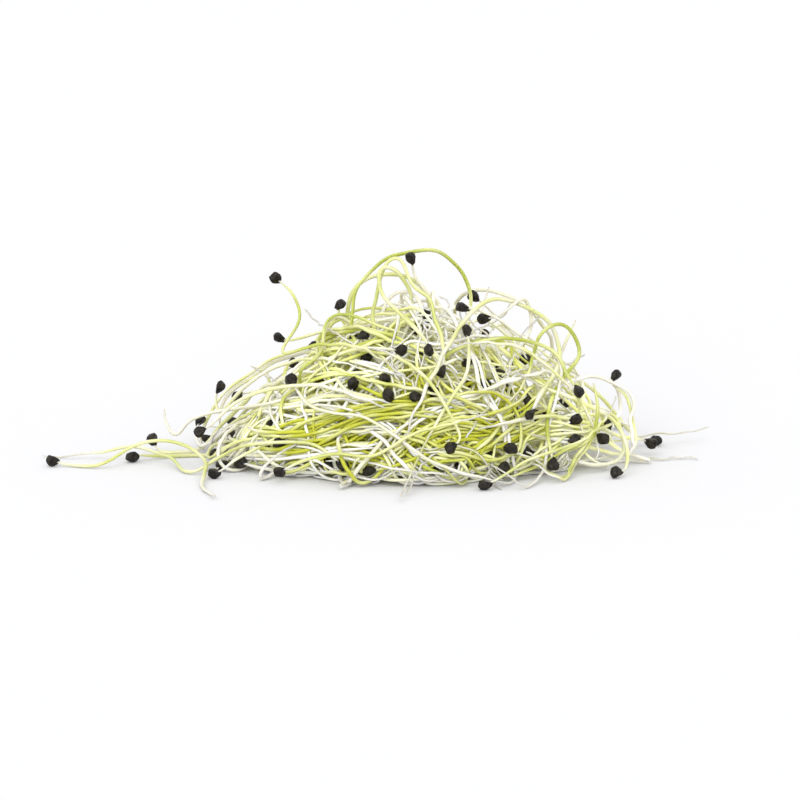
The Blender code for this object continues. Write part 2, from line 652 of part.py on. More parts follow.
def husk(name, near, far, around, rng, collection, material_name):
    """A seed husk between the two points: longer than wide, flatter on one side, and a little dented."""
    shape = bmesh.new()
    bmesh.ops.create_uvsphere(shape, u_segments=around, v_segments=HUSK_RINGS, radius=1.0)
    roll = Matrix.Rotation(rng.uniform(0, 2 * math.pi), 4, "Z")
    turn = Vector(far - near).to_track_quat("Z", "X").to_matrix().to_4x4()
    middle = Vector(0.5 * (near + far))
    for vertex in shape.verts:
        dent = rng.uniform(0.88, 1.0)
        flat = HUSK_FLAT_SIDE if vertex.co.y < 0 else 1.0
        vertex.co.x *= 0.5 * HUSK_WIDTH * dent
        vertex.co.y *= 0.5 * HUSK_THICKNESS * dent * flat
        vertex.co.z *= 0.5 * HUSK_LENGTH
    shape.transform(Matrix.Diagonal((MM, MM, MM, 1.0)) @ Matrix.Translation(middle) @ turn @ roll)
    mesh = bpy.data.meshes.new(name)
    shape.to_mesh(mesh)
    shape.free()
    return link(mesh, name, collection, material_name)


def heap_core(name, collection, material_name):
    """The flat-bottomed mound at the middle of the heap: the upper half of a ball, drawn out to its skin."""
    shape = bmesh.new()
    bmesh.ops.create_uvsphere(shape, u_segments=CORE_AROUND, v_segments=CORE_RINGS, radius=1.0)
    below = [vertex for vertex in shape.verts if vertex.co.z < -0.001]
    bmesh.ops.delete(shape, geom=below, context="VERTS")
    rim = [edge for edge in shape.edges if edge.is_boundary]
    bmesh.ops.holes_fill(shape, edges=rim, sides=0)
    bmesh.ops.recalc_face_normals(shape, faces=shape.faces)
    for vertex in shape.verts:
        reach = min(math.hypot(vertex.co.x, vertex.co.y), 1.0)
        wide = CORE_SHARE * float(lumps(math.atan2(vertex.co.y / HEAP_HALF_LENGTH * HEAP_HALF_DEPTH,
                                                   vertex.co.x)))
        vertex.co.z = MM * CORE_SHARE * HEAP_HEIGHT * (1.0 - reach**HEAP_SLOPE)
        vertex.co.x *= MM * HEAP_HALF_LENGTH * wide
        vertex.co.y *= MM * HEAP_HALF_DEPTH * wide
    mesh = bpy.data.meshes.new(name)
    shape.to_mesh(mesh)
    shape.free()
    return link(mesh, name, collection, material_name)


def largest_piece(mesh):
    """Keeps the biggest connected piece of the mesh, so that loose scraps and closed pockets are dropped."""
    shape = bmesh.new()
    shape.from_mesh(mesh)
    left, pieces = set(shape.verts), []
    while left:
        piece, edge = set(), [left.pop()]
        while edge:
            vertex = edge.pop()
            piece.add(vertex)
            for link_edge in vertex.link_edges:
                other = link_edge.other_vert(vertex)
                if other in left:
                    left.remove(other)
                    edge.append(other)
        pieces.append(piece)
    pieces.sort(key=len)
    loose = [vertex for piece in pieces[:-1] for vertex in piece]
    bmesh.ops.delete(shape, geom=loose, context="VERTS")
    shape.to_mesh(mesh)
    shape.free()


def main():
    clear_scene()
    sprouts = new_collection("onion_sprouts")
    names, lines, husked, fused = all_strands()
    radii = np.repeat(np.linspace(STEM_RADIUS, ROOT_RADIUS, STRAND_POINTS - 1)[None, :], len(names), 0)
    room = radii.copy()
    room[husked, 0] = HUSK_ROOM
    points = bend_clear(lines, room, fused)
    thick = np.linspace(STEM_RADIUS, ROOT_RADIUS, STRAND_POINTS)
    rng = random.Random(GROWN_SEED)
    to_fuse = new_collection("to_fuse")
    core = heap_core("tangle_core", sprouts, "tangle_pale")
    for name, line, has_husk, is_fused in zip(names, points, husked, fused):
        if is_fused:
            first = 1 if has_husk else 0
            strand_tube(name, line[first:], thick[first:], to_fuse, "tangle_pale")
            if has_husk:
                husk(name + "_seed", line[1], line[0], SEED_AROUND, rng, to_fuse, "tangle_pale")
        else:
            strand_tube("sprout_" + name, line[2:], thick[2:], sprouts, "stem_green")
            husk("husk_" + name, line[1], line[0], HUSK_AROUND, rng, sprouts, "husk_black")
    union = core.modifiers.new("fuse", "BOOLEAN")
    union.operation = "UNION"
    union.operand_type = "COLLECTION"
    union.collection = to_fuse
    union.solver = "MANIFOLD"
    fused_mesh = evaluated_mesh(core)
    largest_piece(fused_mesh)
    for obj in list(to_fuse.objects):
        bpy.data.objects.remove(obj, do_unlink=True)
    bpy.data.collections.remove(to_fuse)
    bpy.data.objects.remove(core, do_unlink=True)
    link(fused_mesh, "tangle", sprouts, "tangle_pale")


main()
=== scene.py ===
"""The looks of the loose heap of onion sprouts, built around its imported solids.

The sprouts' middle lines come from the same routes, rules and seeds as the solids', so every fine sprout
lies where its solid is. More sprouts are laid on and in the heap, bent clear of those. Lengths are in
millimetres until a mesh is made."""

import math
import random
from collections import namedtuple

import bmesh
import bpy
import numpy as np
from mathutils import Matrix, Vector, noise


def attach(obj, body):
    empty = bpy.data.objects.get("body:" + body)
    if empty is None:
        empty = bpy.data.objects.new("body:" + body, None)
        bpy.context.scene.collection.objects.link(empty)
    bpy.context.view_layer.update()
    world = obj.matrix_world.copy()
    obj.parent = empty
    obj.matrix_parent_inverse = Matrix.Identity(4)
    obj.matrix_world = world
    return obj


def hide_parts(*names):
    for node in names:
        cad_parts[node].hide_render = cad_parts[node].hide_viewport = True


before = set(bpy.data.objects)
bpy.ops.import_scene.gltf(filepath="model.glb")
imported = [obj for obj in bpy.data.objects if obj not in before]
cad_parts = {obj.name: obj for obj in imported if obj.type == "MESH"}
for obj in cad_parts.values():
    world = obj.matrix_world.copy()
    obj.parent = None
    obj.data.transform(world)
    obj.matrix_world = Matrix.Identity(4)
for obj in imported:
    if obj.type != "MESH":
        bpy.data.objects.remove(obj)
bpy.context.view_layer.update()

MM = 0.001

# The solids' sizes, which place the sprouts
STEM_RADIUS = 0.5
ROOT_RADIUS = 0.45
STRAND_POINTS = 25
HUSK_LENGTH = 3.2
HUSK_ROOM = 1.25
NECK = 1.6
HEAP_HALF_LENGTH = 50.0
HEAP_HALF_DEPTH = 36.0
HEAP_HEIGHT = 36.0
HEAP_SLOPE = 1.7
HEAP_LUMPS = ((3.0, 1.0, 0.07), (5.0, 2.3, 0.05))
CORE_SHARE = 0.6
CORE_DEPTH = 24.0
GROWN_STRANDS = 46
GROWN_SEED = 11
HUSKED_SHARE = 0.6
FLANK_HEIGHT = 19.0
FURTHEST_LEVEL = 1.25
GOLDEN_TURN = math.pi * (3.0 - math.sqrt(5.0))
CLEAR = 0.36
CLEAR_FUSED = 0.1
CORE_CLEAR = 0.5
FLOOR_CLEAR = 0.05
ROUNDS = 240

# Middle lines that are closer than this have all but crossed
CROSSED = 0.05

# A strand's first side is square to its way and to this one, along which few strands run
SIDE_HINT = np.array([0.13, 0.29, 0.95])

# How the photo was taken: the camera's place, and where it aims
LOOK_DOWN = math.radians(11.0)
CAMERA_AWAY = 900.0
AIM_ACROSS = -4.5
AIM_UP = 12.6
VIEW_WIDTH = 180.0
SENSOR = 36.0

# The finer sprouts: points for each of the solids', sides, and radii
FINE_PER = 3
SOFTENED = 5
TUBE_SIDES = 8
INNER_SIDES = 6
FINE_STEM = 0.45
FINE_NECK = 0.25
FINE_ROOT = 0.23
TIP_STEM = 0.22
AIRY_WIDTHS = (0.22, 0.36)
OWN_WIDTHS = (0.85, 1.1)
FURTHER_WIDTHS = (0.65, 1.08)
NECK_TAPER = 7.0
ROOT_STARTS = (0.66, 0.86)
LONG_ROOT_START = 0.4
ROOT_TAPER = 0.2
SWELLING = 0.05
CRINKLE = 0.27

# The further sprouts, which only the scene has. A skin, a limit or a layer is a share of the heap's size
LAID_BUNDLES = 90
INNER_STRANDS = 125
AIRY_CURLS = 12
FURTHER_SEED = 5
FURTHER_CLEAR = 0.03
FURTHER_ROUNDS = 90
PAIR_MARGIN = 0.7
SKIN = 1.02
HUSK_SKIN = 0.98
COVERED_SKIN = 0.86
SEEN_LIMIT = 1.6
LAID_LIMIT = 1.0
NO_LIMIT = 9.0
INNER_LAYERS = (0.4, 0.82)
RIM_TUCK = 0.24
RIM_HEIGHT = 6.0
HUSKS_FROM = 6.0
LEADERS_HUSKED = 0.6
OTHERS_HUSKED = 0.4
INNER_HUSKED = 0.3
BUNDLED_UNDER = 14.0
BUNDLE_GAP = 1.6
MOST_SPARSE = 0.97
END_SINK = 0.16
END_STEPS = 10.0

# Seed husks: half sizes, how finely they are made, and how sharp the edges between their flat sides are
HUSK_SIZE = (1.42, 1.08, 1.55)
HUSK_BALL = 4
HUSK_SHARPNESS = 40.0

# Colours. Painted light: strands deep in the heap are painted brighter, standing in for the light that
# stems let through,
# # the green ones less, and never past BRIGHTEST. They are also painted a little greener and warmer there.
# Slender ones are shaded
WHITE = np.array([0.62, 0.60, 0.56])
ROOT_WHITE = np.array([0.60, 0.585, 0.565])
PALE = np.array([0.57, 0.58, 0.31])
LEMON = np.array([0.375, 0.388, 0.018])
GREEN = np.array([0.33, 0.375, 0.075])
PAINTED_INNER_GLOW = 1.7
GREEN_SHADE = 0.6
PAINTED_INNER_TONE = 0.05
PAINTED_INNER_WARMTH = np.array([0.0, 0.01, 0.08])
SLENDER_SHADE = 0.6
SLENDER_RADII = (0.17, 0.36)
BRIGHTEST = 0.97
TONE_SPREAD = 0.38
TONE_LIMITS = (0.25, 1.8)
WHITE_SHARE = 0.1
WHITE_TONE = 0.15
AIRY_TONES = (0.0, 0.25)
LEAST_GREEN = 0.07
MOTTLING = 0.4
STREAKS_ALONG = 0.12
HUSK_DARK = (0.004, 0.0035, 0.003, 1.0)
HUSK_LIGHT = (0.034, 0.028, 0.02, 1.0)
FLOOR_WHITE = (0.675, 0.675, 0.688, 1.0)

# Light
ROOM_LIGHT = 1.03
WINDOW_LIGHT = 2.8
WINDOW_ANGLE = math.radians(60.0)
WINDOW_WAY = Vector((0.12, 0.85, -0.5))

# Routes read off the photo: across, up, and depth behind the middle, from the husk to the root
OWN_ROUTES = {
    "trail_low": [
        (-82.5, -1, -12), (-80.5, -2, -12), (-74, -2.5, -14), (-70.5, -1.5, -14), (-64, 2.5, -12),
        (-57.5, 3.5, -12), (-52, 2, -14), (-49.5, 0, -17), (-48, -2, -22), (-49, -7, -35), (-46, -9, -47),
    ],
    "trail_mid": [
        (-17.5, -2, -31), (-22.5, 2, -29), (-25.5, 3, -27), (-33.5, 3, -25), (-41, 2, -21),
        (-44.5, 0, -19), (-47, -1, -19), (-50, -4, -21), (-52, -4.5, -21), (-54, -3, -17),
        (-55, -1, -13), (-58, 0, -9), (-61, 1, -8), (-67.5, 1, -6), (-75.5, 0, -4), (-85, 0, -3),
    ],
    "trail_short": [
        (-64.5, -1, -7), (-63, 0, -6), (-59.5, 0, -4), (-52, -0.5, -2), (-48, -0.5, -2),
        (-40.5, 2, -3), (-30.5, 4.5, -10), (-19, 7, -18), (-13.5, 8, -22),
    ],
    "left_pair": [
        (-60, 3.5, 2), (-59, 1.5, 2), (-57, 0, 1), (-52, 0, 2), (-47, 3.5, 4), (-44.5, 6.5, 4),
        (-39.5, 12, 1), (-36, 15, -2), (-27, 18.5, -10), (-22, 19.5, -14),
    ],
    "left_upper": [
        (-49.5, 5.5, -14), (-47, 7, -14), (-41.5, 12, -14), (-34, 15, -16), (-24.5, 16, -20),
        (-19, 15, -22), (-8, 11, -28),
    ],
    "left_high": [
        (-45, 15.5, -2), (-46, 13.5, -2), (-45.5, 10, -2), (-44, 10.5, -4), (-39.5, 15.5, -6),
        (-32.5, 20, -8), (-23, 22, -11), (-12, 19.5, -18),
    ],
    "tall_left": [
        (-32.5, 40, 2), (-29, 37, 2), (-27, 32.5, 0), (-27.5, 29.5, -1), (-30.5, 25, -5),
        (-31, 23, -7), (-26.5, 24, -11), (-23.5, 25, -12), (-15.5, 25, -16), (-11, 23.5, -18),
        (-3.5, 18, -22),
    ],
    "left_shoulder": [
        (-31.5, 26.5, 4), (-29, 26, 3), (-19.5, 28.5, 0), (-11, 28, -2), (-7, 27.5, -4), (-2, 27, -6),
        (7, 23.5, -13),
    ],
    "top_left": [
        (-18, 34, 3), (-18.5, 32.5, 3), (-16.5, 29, 3), (-12, 26.5, 6), (-5, 26, 12), (3, 24.5, 16),
        (7, 22.5, 17),
    ],
    "top_arch": [
        (-9.5, 25, -8), (-12, 24, -8), (-15.5, 27, -5), (-15, 32.5, -1), (-14.5, 37.5, 0),
        (-9, 43.5, 3), (-6.5, 45, 3), (-4, 45.5, 4), (2, 46.5, 4), (4.5, 46, 5), (9, 42, 6),
        (11.5, 36.5, 6), (11, 31, 6), (11.5, 25, 9), (13, 21.5, 11),
    ],
    "top_middle": [
        (-2, 44.5, 0), (-1, 40, 1), (2, 37, 1), (4, 35, 2), (5.5, 29.5, 4), (7.5, 24, 8), (13, 18, 14),
    ],
    "right_arch": [
        (25, 9.5, -23), (27, 14, -17), (29, 16.5, -11), (31.5, 22, -2), (30.5, 27.5, 1), (29.5, 30, 1),
        (25.5, 33, 0), (18, 35.5, -3), (13, 33.5, -7), (9, 29, -13), (5, 22.5, -20), (3, 18.5, -24),
        (-1, 10.5, -30), (-4, 2, -34),
    ],
    "right_loop": [
        (30, -2, -27), (28.5, 4.5, -22), (29.5, 12, -14), (32.5, 18, -7), (36, 22, -3), (36, 24.5, -2),
        (33.5, 29, -2), (31.5, 30, -3), (28, 28.5, -5), (26.5, 26.5, -6), (24, 17.5, -13),
        (19.5, 11.5, -19), (16.5, 9, -22),
    ],
    "right_drop": [
        (44, 18, 2), (43, 16, 2), (46.5, 13.5, 1), (48, 6.5, -1), (48.5, 3, -3), (47.5, 1, -5),
        (45, 0.5, -8), (38, 2, -15), (34, 3, -18), (25.5, 5.5, -23),
    ],
    "right_bow": [
        (23.5, 21.5, -3), (22.5, 16.5, 1), (24.5, 14.5, 2), (30.5, 15.5, 4), (38, 18, 6), (44, 16, 5),
        (45, 9.5, 3), (40.5, 4.5, -2), (35.5, 0.5, -11),
    ],
    "right_low": [
        (52, 3, -1), (49.5, 4, -1), (44.5, 4.5, -4), (38.5, 7, -10), (31.5, 8.5, -16), (22.5, 8, -22),
        (13, 6, -28),
    ],
    "right_root": [
        (23, 0, -12), (29, 2, 0), (36, 3.5, 6), (45.5, 3.5, 8), (52, 4.5, 10), (58.5, 5, 12),
        (65, 6.5, 16),
    ],
    "right_front": [
        (44.5, -5, -24), (46, -3.5, -23), (46.5, 2, -18), (43.5, 8, -12), (37.5, 11.5, -9),
        (29.5, 15, -12), (21.5, 19, -16),
    ],
    "right_low_root": [
        (20.5, 1.5, -29), (23.5, 0, -27), (31.5, -1.5, -18), (40.5, -1.5, -11), (47, 0, -5),
        (50.5, -1, -5), (54.5, -1, -6), (58.5, -0.5, -4), (62.5, -1, -5),
    ],
    "right_pair": [
        (41.5, 4, -15), (38.5, 8.5, -15), (34.5, 15, -13), (31.5, 18, -13), (25, 23, -15),
        (20.5, 25, -17), (12, 25.5, -20), (8, 24.5, -22),
    ],
    "front_right": [
        (14.5, -7, -36), (18.5, -4.5, -35), (21, -3, -33), (24, -1, -32), (34, 2.5, -26),
        (38, 4.5, -22), (43, 10.5, -11), (44, 13.5, -6),
    ],
    "front_middle": [
        (7, 2, -36), (9, 3.5, -35), (8.5, 6, -34), (4, 14, -28), (-1.5, 20, -23), (-8, 23.5, -19),
        (-12, 24, -17),
    ],
    "front_root": [
        (10.5, 28, -15), (11, 25, -18), (10.5, 18.5, -23), (7, 13, -27), (1.5, 3.5, -33),
        (-2.5, -5, -40), (-4.5, -9.5, -50),
    ],
    "front_white": [
        (-29, 17, -15), (-25, 11.5, -22), (-18.5, 9.5, -28), (-13, 9, -30), (-5.5, 4.5, -34),
        (1, -0.5, -36), (11, -4.5, -36), (20.5, -6.5, -35),
    ],
    "front_low": [
        (-31.5, -3.5, -30), (-26, -1, -32), (-18.5, 0.5, -34), (-10.5, 0, -36), (-1.5, 5, -36),
        (6, 7, -36), (15.5, 9.5, -32),
    ],
}

# Loops and root tips that rise out of the heap: the same, but the last end is carried on into the core
FUSED_ROUTES = {
    "left_white": [
        (-57.5, 10.5, -3), (-57.5, 8.5, -3), (-55, 4, -3), (-52.5, 7.5, -3), (-48, 9.5, -6),
        (-42.5, 10.5, -8), (-35.5, 11.5, -12), (-31.5, 12.5, -13), (-27, 13.5, -12),
    ],
    "knee": [
        (-3, 27.5, -14), (-10, 29.5, -10), (-13, 31, -9), (-18.5, 32, -7), (-21.5, 29.5, -8),
        (-22, 24, -11), (-24.5, 21, -14), (-27, 19, -14),
    ],
    "top_inner": [
        (-7, 13.5, -25), (-12, 18.5, -17), (-17, 25, -1), (-16.5, 31, 6), (-16, 34, 6), (-16, 36, 7),
        (-12.5, 40, 9), (-5.5, 41, 9), (0, 39, 9), (2, 36.5, 10), (3, 30.5, 12),
    ],
    "top_fold": [
        (5, 19, -20), (5.5, 22.5, -17), (4.5, 28.5, -12), (3, 31, -9), (3, 34, -8), (2, 36, -7),
        (0, 37, -6), (-2, 38.5, -6), (-4.5, 45, -4), (-8, 43, -5), (-9.5, 37, -7), (-10.5, 33.5, -7),
    ],
    "inner_loop": [
        (2, 24, -21), (1, 26.5, -18), (-4, 31.5, -12), (-8, 35.5, -10), (-9, 37.5, -10),
        (-9, 42.5, -8), (-5, 41.5, -6), (-2, 36.5, -4), (-1.5, 34, -3),
    ],
    "green_arc": [
        (35.5, 14.5, -15), (32.5, 18.5, -12), (32, 21, -11), (28.5, 24.5, -10), (18.5, 26.5, -13),
        (7, 23.5, -16),
    ],
    "right_upright": [
        (39, 16.5, -12), (40, 10.5, -14), (38, 3.5, -18), (32, 1.5, -19), (29, 2, -18),
    ],
    "spire": [(35, 30.5, 5), (31.5, 22.5, 2), (31, 19, 0), (26, 11.5, -6)],
    "high_root": [(15.5, 38, 8), (14, 33.5, 5), (9, 25, -3)],
    "right_high": [
        (14.5, 31, -2), (17, 31, -2), (19, 32.5, -3), (22.5, 35.5, -2), (24.5, 34, 0), (25, 28.5, 1),
        (20.5, 22, -1),
    ],
}
NO_HUSK = ("left_white", "knee", "right_upright", "spire", "high_root")

# Sprouts that the photo can't show, at the back and the sides: across, depth and height
BACK_ROUTES = {
    "back_trail": [
        (-6, 50, 1.6), (-2, 44, 1.2), (3, 38, 1.5), (6, 33, 6), (5, 28, 12), (0, 23, 18), (-8, 19, 22),
        (-17, 16, 23), (-26, 14, 20), (-34, 15, 14),
    ],
    "back_low": [
        (33, 36, 1.6), (26, 36, 2.5), (18, 35, 4), (8, 34, 5), (-2, 33, 5), (-12, 31, 5), (-22, 29, 4),
        (-32, 26, 2.5), (-41, 26, 1.2), (-49, 29, 0.9),
    ],
    "back_arch": [
        (22, 30, 12), (16, 32, 16), (10, 30, 22), (8, 25, 29), (10, 18, 34), (15, 12, 36),
        (22, 10, 34), (28, 13, 28), (31, 18, 20), (34, 22, 12), (38, 26, 5),
    ],
    "back_right": [
        (46, 30, 1.6), (43, 25, 4), (40, 20, 8), (36, 18, 13), (30, 19, 18), (22, 21, 20), (13, 23, 20),
        (4, 25, 17), (-5, 28, 13), (-13, 31, 8),
    ],
}

# How green the photo shows those sprouts, from 0 for white to 1 for green. The others are between
ROUTE_TONES = {
    "trail_low": 0.45, "trail_mid": 0.42, "trail_short": 0.45, "left_pair": 0.3, "left_upper": 0.2,
    "left_high": 0.2, "tall_left": 0.65, "left_shoulder": 0.4, "top_left": 0.5, "top_arch": 1.0,
    "top_middle": 0.1, "right_arch": 0.3, "right_loop": 1.0, "right_drop": 0.3, "right_bow": 0.04,
    "right_low": 0.35, "right_root": 0.2, "right_front": 0.28, "right_low_root": 0.2, "right_pair": 0.25,
    "front_right": 0.45, "front_middle": 0.42, "front_root": 0.3, "front_white": 0.15, "front_low": 0.5,
    "left_white": 0.1, "knee": 0.8, "top_inner": 0.45, "top_fold": 0.5, "inner_loop": 0.4,
    "green_arc": 0.7, "right_upright": 0.85, "spire": 0.2, "high_root": 0.05, "right_high": 0.1,
}

# More sprouts read off the photo, where they show: how green, how many lie beside it, and the route,
# across and up. They lie on the heap's skin
SEEN_ROUTES = {
    "upright_white": (0.05, 1, [
        (-33, 13), (-33, 10.5), (-32.5, 7.5), (-31.5, 4.5), (-30.5, 2.5), (-29, 2), (-25.5, 2),
        (-22.5, 1.5), (-19, 0), (-16, -1), (-10.5, -1.5), (-3.5, -2.5), (0, -3),
    ]),
    "low_band": (0.2, 4, [
        (-47.5, -2), (-45.5, 0), (-40.5, 0), (-34, 0), (-27, 0.5), (-22, 1.5), (-17, 2), (-12.5, 2),
    ]),
    "green_crest": (0.55, 1, [
        (-31.5, 11), (-31, 12.5), (-30, 14), (-27, 16.5), (-23.5, 18), (-19.5, 18.5), (-16, 18), (-12, 17),
        (-9, 17), (-5.5, 16), (-2, 15), (2, 14),
    ]),
    "long_crest": (0.3, 1, [
        (-48, 7), (-46, 11.5), (-44, 14.5), (-41, 17), (-38, 18.5), (-34.5, 21.5), (-31.5, 22.5),
        (-28, 23.5), (-24.5, 24.5), (-21.5, 23.5), (-16, 21), (-12.5, 20), (-8, 19),
    ]),
    "left_band": (0.3, 3, [
        (-44.5, 5.5), (-42.5, 6.5), (-40.5, 8), (-38, 10), (-35.5, 11), (-31.5, 11.5), (-27, 12), (-20, 13),
        (-13.5, 13), (-7, 12),
    ]),
    "left_fan": (0.4, 4, [
        (-47.5, -1), (-45.5, 1.5), (-43.5, 3), (-40.5, 4.5), (-36.5, 5), (-34, 4.5), (-29, 3.5), (-25, 3.5),
        (-20, 4.5), (-16, 5), (-10, 6),
    ]),
    "green_pack": (1.0, 8, [
        (-29, 1), (-26, 1.5), (-22.5, 2.5), (-19, 4), (-16, 5.5), (-13, 7), (-9, 8), (-4.5, 8.5), (1, 9),
    ]),
    "green_pack_high": (0.95, 6, [
        (-26, 6), (-22, 7), (-18, 8.5), (-14, 10), (-9, 11), (-4, 11.5), (2, 11.5), (8, 11),
    ]),
    "white_rise": (0.1, 2, [
        (-4.5, 5.5), (-2, 8), (2.5, 10), (8, 12), (13.5, 14), (19.5, 16), (25, 17.5), (29, 19),
    ]),
    "white_slope": (0.05, 2, [
        (-22.5, 11.5), (-19, 10.5), (-14, 9.5), (-10.5, 8), (-7, 6), (-4.5, 4), (-3.5, 2), (-0.5, 0),
        (2.5, -1.5),
    ]),
    "white_fall": (0.1, 1, [
        (11, 24), (12.5, 20.5), (13.5, 17), (15.5, 12.5), (17, 9), (18, 6), (19, 3), (19.5, 0),
    ]),
    "centre_bow": (0.8, 0, [
        (2, 17), (1.5, 13), (0, 9), (-2, 6), (-4, 3.5), (-6, 2), (-9.5, 0), (-12, -1), (-13, -3), (-14, -4),
        (-17, -4),
    ]),
    "yellow_hook": (0.7, 0, [
        (11, 13.5), (14.5, 14), (16, 14.5), (18, 13.5), (21, 10.5), (22.5, 7), (22.5, 3), (22, 1), (20, 0),
        (17, -1), (13.5, -1), (9, 0),
    ]),
    "yellow_bowl": (0.7, 1, [
        (19, 6), (17.5, 4.5), (15.5, 2.5), (11.5, 0.5), (9, 0), (6, 0), (3.5, 1), (0, 3.5), (-4.5, 4.5),
    ]),
    "right_green": (0.85, 4, [
        (4, 6), (7, 7), (10.5, 7), (15, 6.5), (19, 7.5), (23, 10), (26, 13),
    ]),
    "white_drop": (0.05, 0, [
        (31.5, 21), (32, 19), (31.5, 17), (30.5, 12.5), (29, 8), (28.5, 4), (28.5, 1), (28, -2.5),
        (26.5, -5), (24.5, -7),
    ]),
    "right_slant": (0.6, 1, [
        (38, 6.5), (36, 5), (33.5, 3), (30, 0.5), (27, -1.5), (24.5, -3), (21.5, -4.5),
    ]),
    "right_steep": (0.55, 1, [
        (41.5, 8.5), (40.5, 7), (38.5, 5), (37.5, 3), (35.5, 0.5), (34, -2.5), (33, -5),
    ]),
    "right_hoop": (0.0, 0, [
        (35, 18), (38, 18.5), (41, 18), (43.5, 16.5), (45.5, 15), (47.5, 12), (47.5, 10), (47, 7.5),
        (48, 4.5), (48, 2),
    ]),
    "right_bend": (0.3, 0, [
        (39.5, 10), (43, 9.5), (44.5, 7.5), (45.5, 4.5), (46, 2), (45.5, 0), (43.5, -1.5), (40, -2),
    ]),
    "knot_right": (0.55, 2, [
        (-23, 24), (-19.5, 23.5), (-16, 23.5), (-12, 24.5), (-9, 25.5), (-6.5, 27.5), (-4.5, 30),
    ]),
    "knot_top": (0.7, 2, [
        (-22, 23.5), (-22.5, 25.5), (-21, 27.5), (-18.5, 28), (-16, 28), (-12, 27.5), (-8, 27),
        (-3.5, 26.5), (1, 25),
    ]),
    "top_line": (0.55, 1, [
        (-21.5, 28), (-19.5, 30.5), (-17, 31.5), (-13.5, 32.5), (-9, 33), (-4.5, 33.5), (-1, 33.5), (2, 31),
    ]),
    "top_white": (0.0, 1, [
        (-9, 20), (-6, 23), (-2.5, 26), (0.5, 26), (3.5, 25), (8, 25.5), (12, 27), (17, 27),
    ]),
    "right_fold": (0.6, 1, [
        (13, 26), (17, 26.5), (19.5, 27), (21, 26), (21, 24), (24, 21), (28, 19),
    ]),
}

# Thin root tips, from the tip: across and up
ROOT_TIPS = (
    [(4.5, 36), (6, 35), (6.5, 34), (6, 32.5), (6.5, 31.5), (8, 30.5), (10, 29)],
    [(8, 34), (9, 32.5), (9.5, 30), (9.5, 27)],
    [(6, 33.5), (4, 31), (2, 29), (1, 26)],
    [(27, 31.5), (24.5, 29), (22.5, 27), (21.5, 24), (20.5, 20.5)],
    [(9.5, 34), (10.5, 32), (11.5, 30), (14, 28)],
    [(20.5, 34.5), (19.5, 32.5), (17, 31), (14, 29)],
    [(37, 23), (34, 21), (30, 20), (26, 20.5)],
    [(-38, 20.5), (-36.5, 19), (-34.5, 18), (-31, 16.5)],
    [(-3, -8.5), (-1.5, -5.5), (0, -3), (3, 0)],
    [(-26, 33), (-24, 31), (-22, 29), (-18, 27)],
)

# Where the photo shows more husks, on sprouts whose stems soon go under others: across and up. The
# covered ones lie deeper, and show less
HUSK_SPOTS = (
    (-1, 11.5), (-14.5, 16), (34, 3), (-11.5, -3), (-12.5, 26.5), (-41, 13.5), (-31.5, 2), (3, 14.5),
    (-49.5, 8), (-28.5, 21), (-46, -4.5), (35, 7.5), (-7.5, 17.5), (11, 21.5), (24.5, 13), (23.5, 0),
    (18.5, -3.5), (-44.5, -2.5),
)
COVERED_SPOTS = (
    (16, 0), (-21, -1), (1.5, 31), (0, 29), (-1, 23.5), (-12.5, 21.5), (-13.5, 18.5), (-23.5, 16.5),
    (-28, 14.5), (-33, 7), (-31.5, 6.5), (-35.5, 2), (-43, 0.5), (-45, 0), (-5.5, 0), (9, 9), (7.5, 8),
    (12.5, 8), (15.5, 5.5), (21, 9.5), (9, -2.5), (3, -3.5), (42, 6.5), (14.5, 16), (-18, 22.5),
)

# Where the heap is greener: across, height, how far that reaches each way, and how much
GREEN_PLACES = (
    (-18.0, 6.0, 9.0, 3.5, 0.8), (-13.0, 8.0, 16.0, 5.0, 0.8), (-6.0, 12.0, 14.0, 6.0, 0.65),
    (15.0, 11.0, 13.0, 8.0, 0.85), (-33.0, 10.0, 10.0, 7.0, 0.15), (-16.0, 27.0, 9.0, 4.0, 0.15),
    (38.0, 9.0, 8.0, 7.0, 0.2), (-5.0, 19.5, 24.0, 6.0, 0.45), (12.0, 25.0, 10.0, 4.0, 0.1),
)


def dot(a, b):
    return a[..., 0] * b[..., 0] + a[..., 1] * b[..., 1] + a[..., 2] * b[..., 2]


def unit(v):
    return v / math.sqrt(v[0] ** 2 + v[1] ** 2 + v[2] ** 2)


def units(vectors):
    """Many vectors at once, each made 1 long."""
    return vectors / np.sqrt(dot(vectors, vectors))[..., None]


def bounded(value, low, high):
    return min(max(value, low), high)


def ramp(value, low, high):
    t = bounded((value - low) / (high - low), 0.0, 1.0)
    return t * t * (3.0 - 2.0 * t)


def smooth_step(value, low, high):
    """The same as ramp, for arrays."""
    t = np.clip((value - low) / (high - low), 0.0, 1.0)
    return t * t * (3.0 - 2.0 * t)


def seen_at(across, up, depth):
    """The point that shows that far across and up in the photo, at that depth behind the heap's middle."""
    aim = np.array([AIM_ACROSS, 0.0, AIM_UP / math.cos(LOOK_DOWN)])
    camera = aim + CAMERA_AWAY * np.array([0.0, -math.cos(LOOK_DOWN), math.sin(LOOK_DOWN)])
    upward = np.array([0.0, math.sin(LOOK_DOWN), math.cos(LOOK_DOWN)])
    target = aim + np.array([across - AIM_ACROSS, 0.0, 0.0]) + (up - AIM_UP) * upward
    return camera + (depth - camera[1]) / (target[1] - camera[1]) * (target - camera)


def lumps(around):
    return 1.0 + sum(size * np.sin(times * around + turn) for times, turn, size in HEAP_LUMPS)


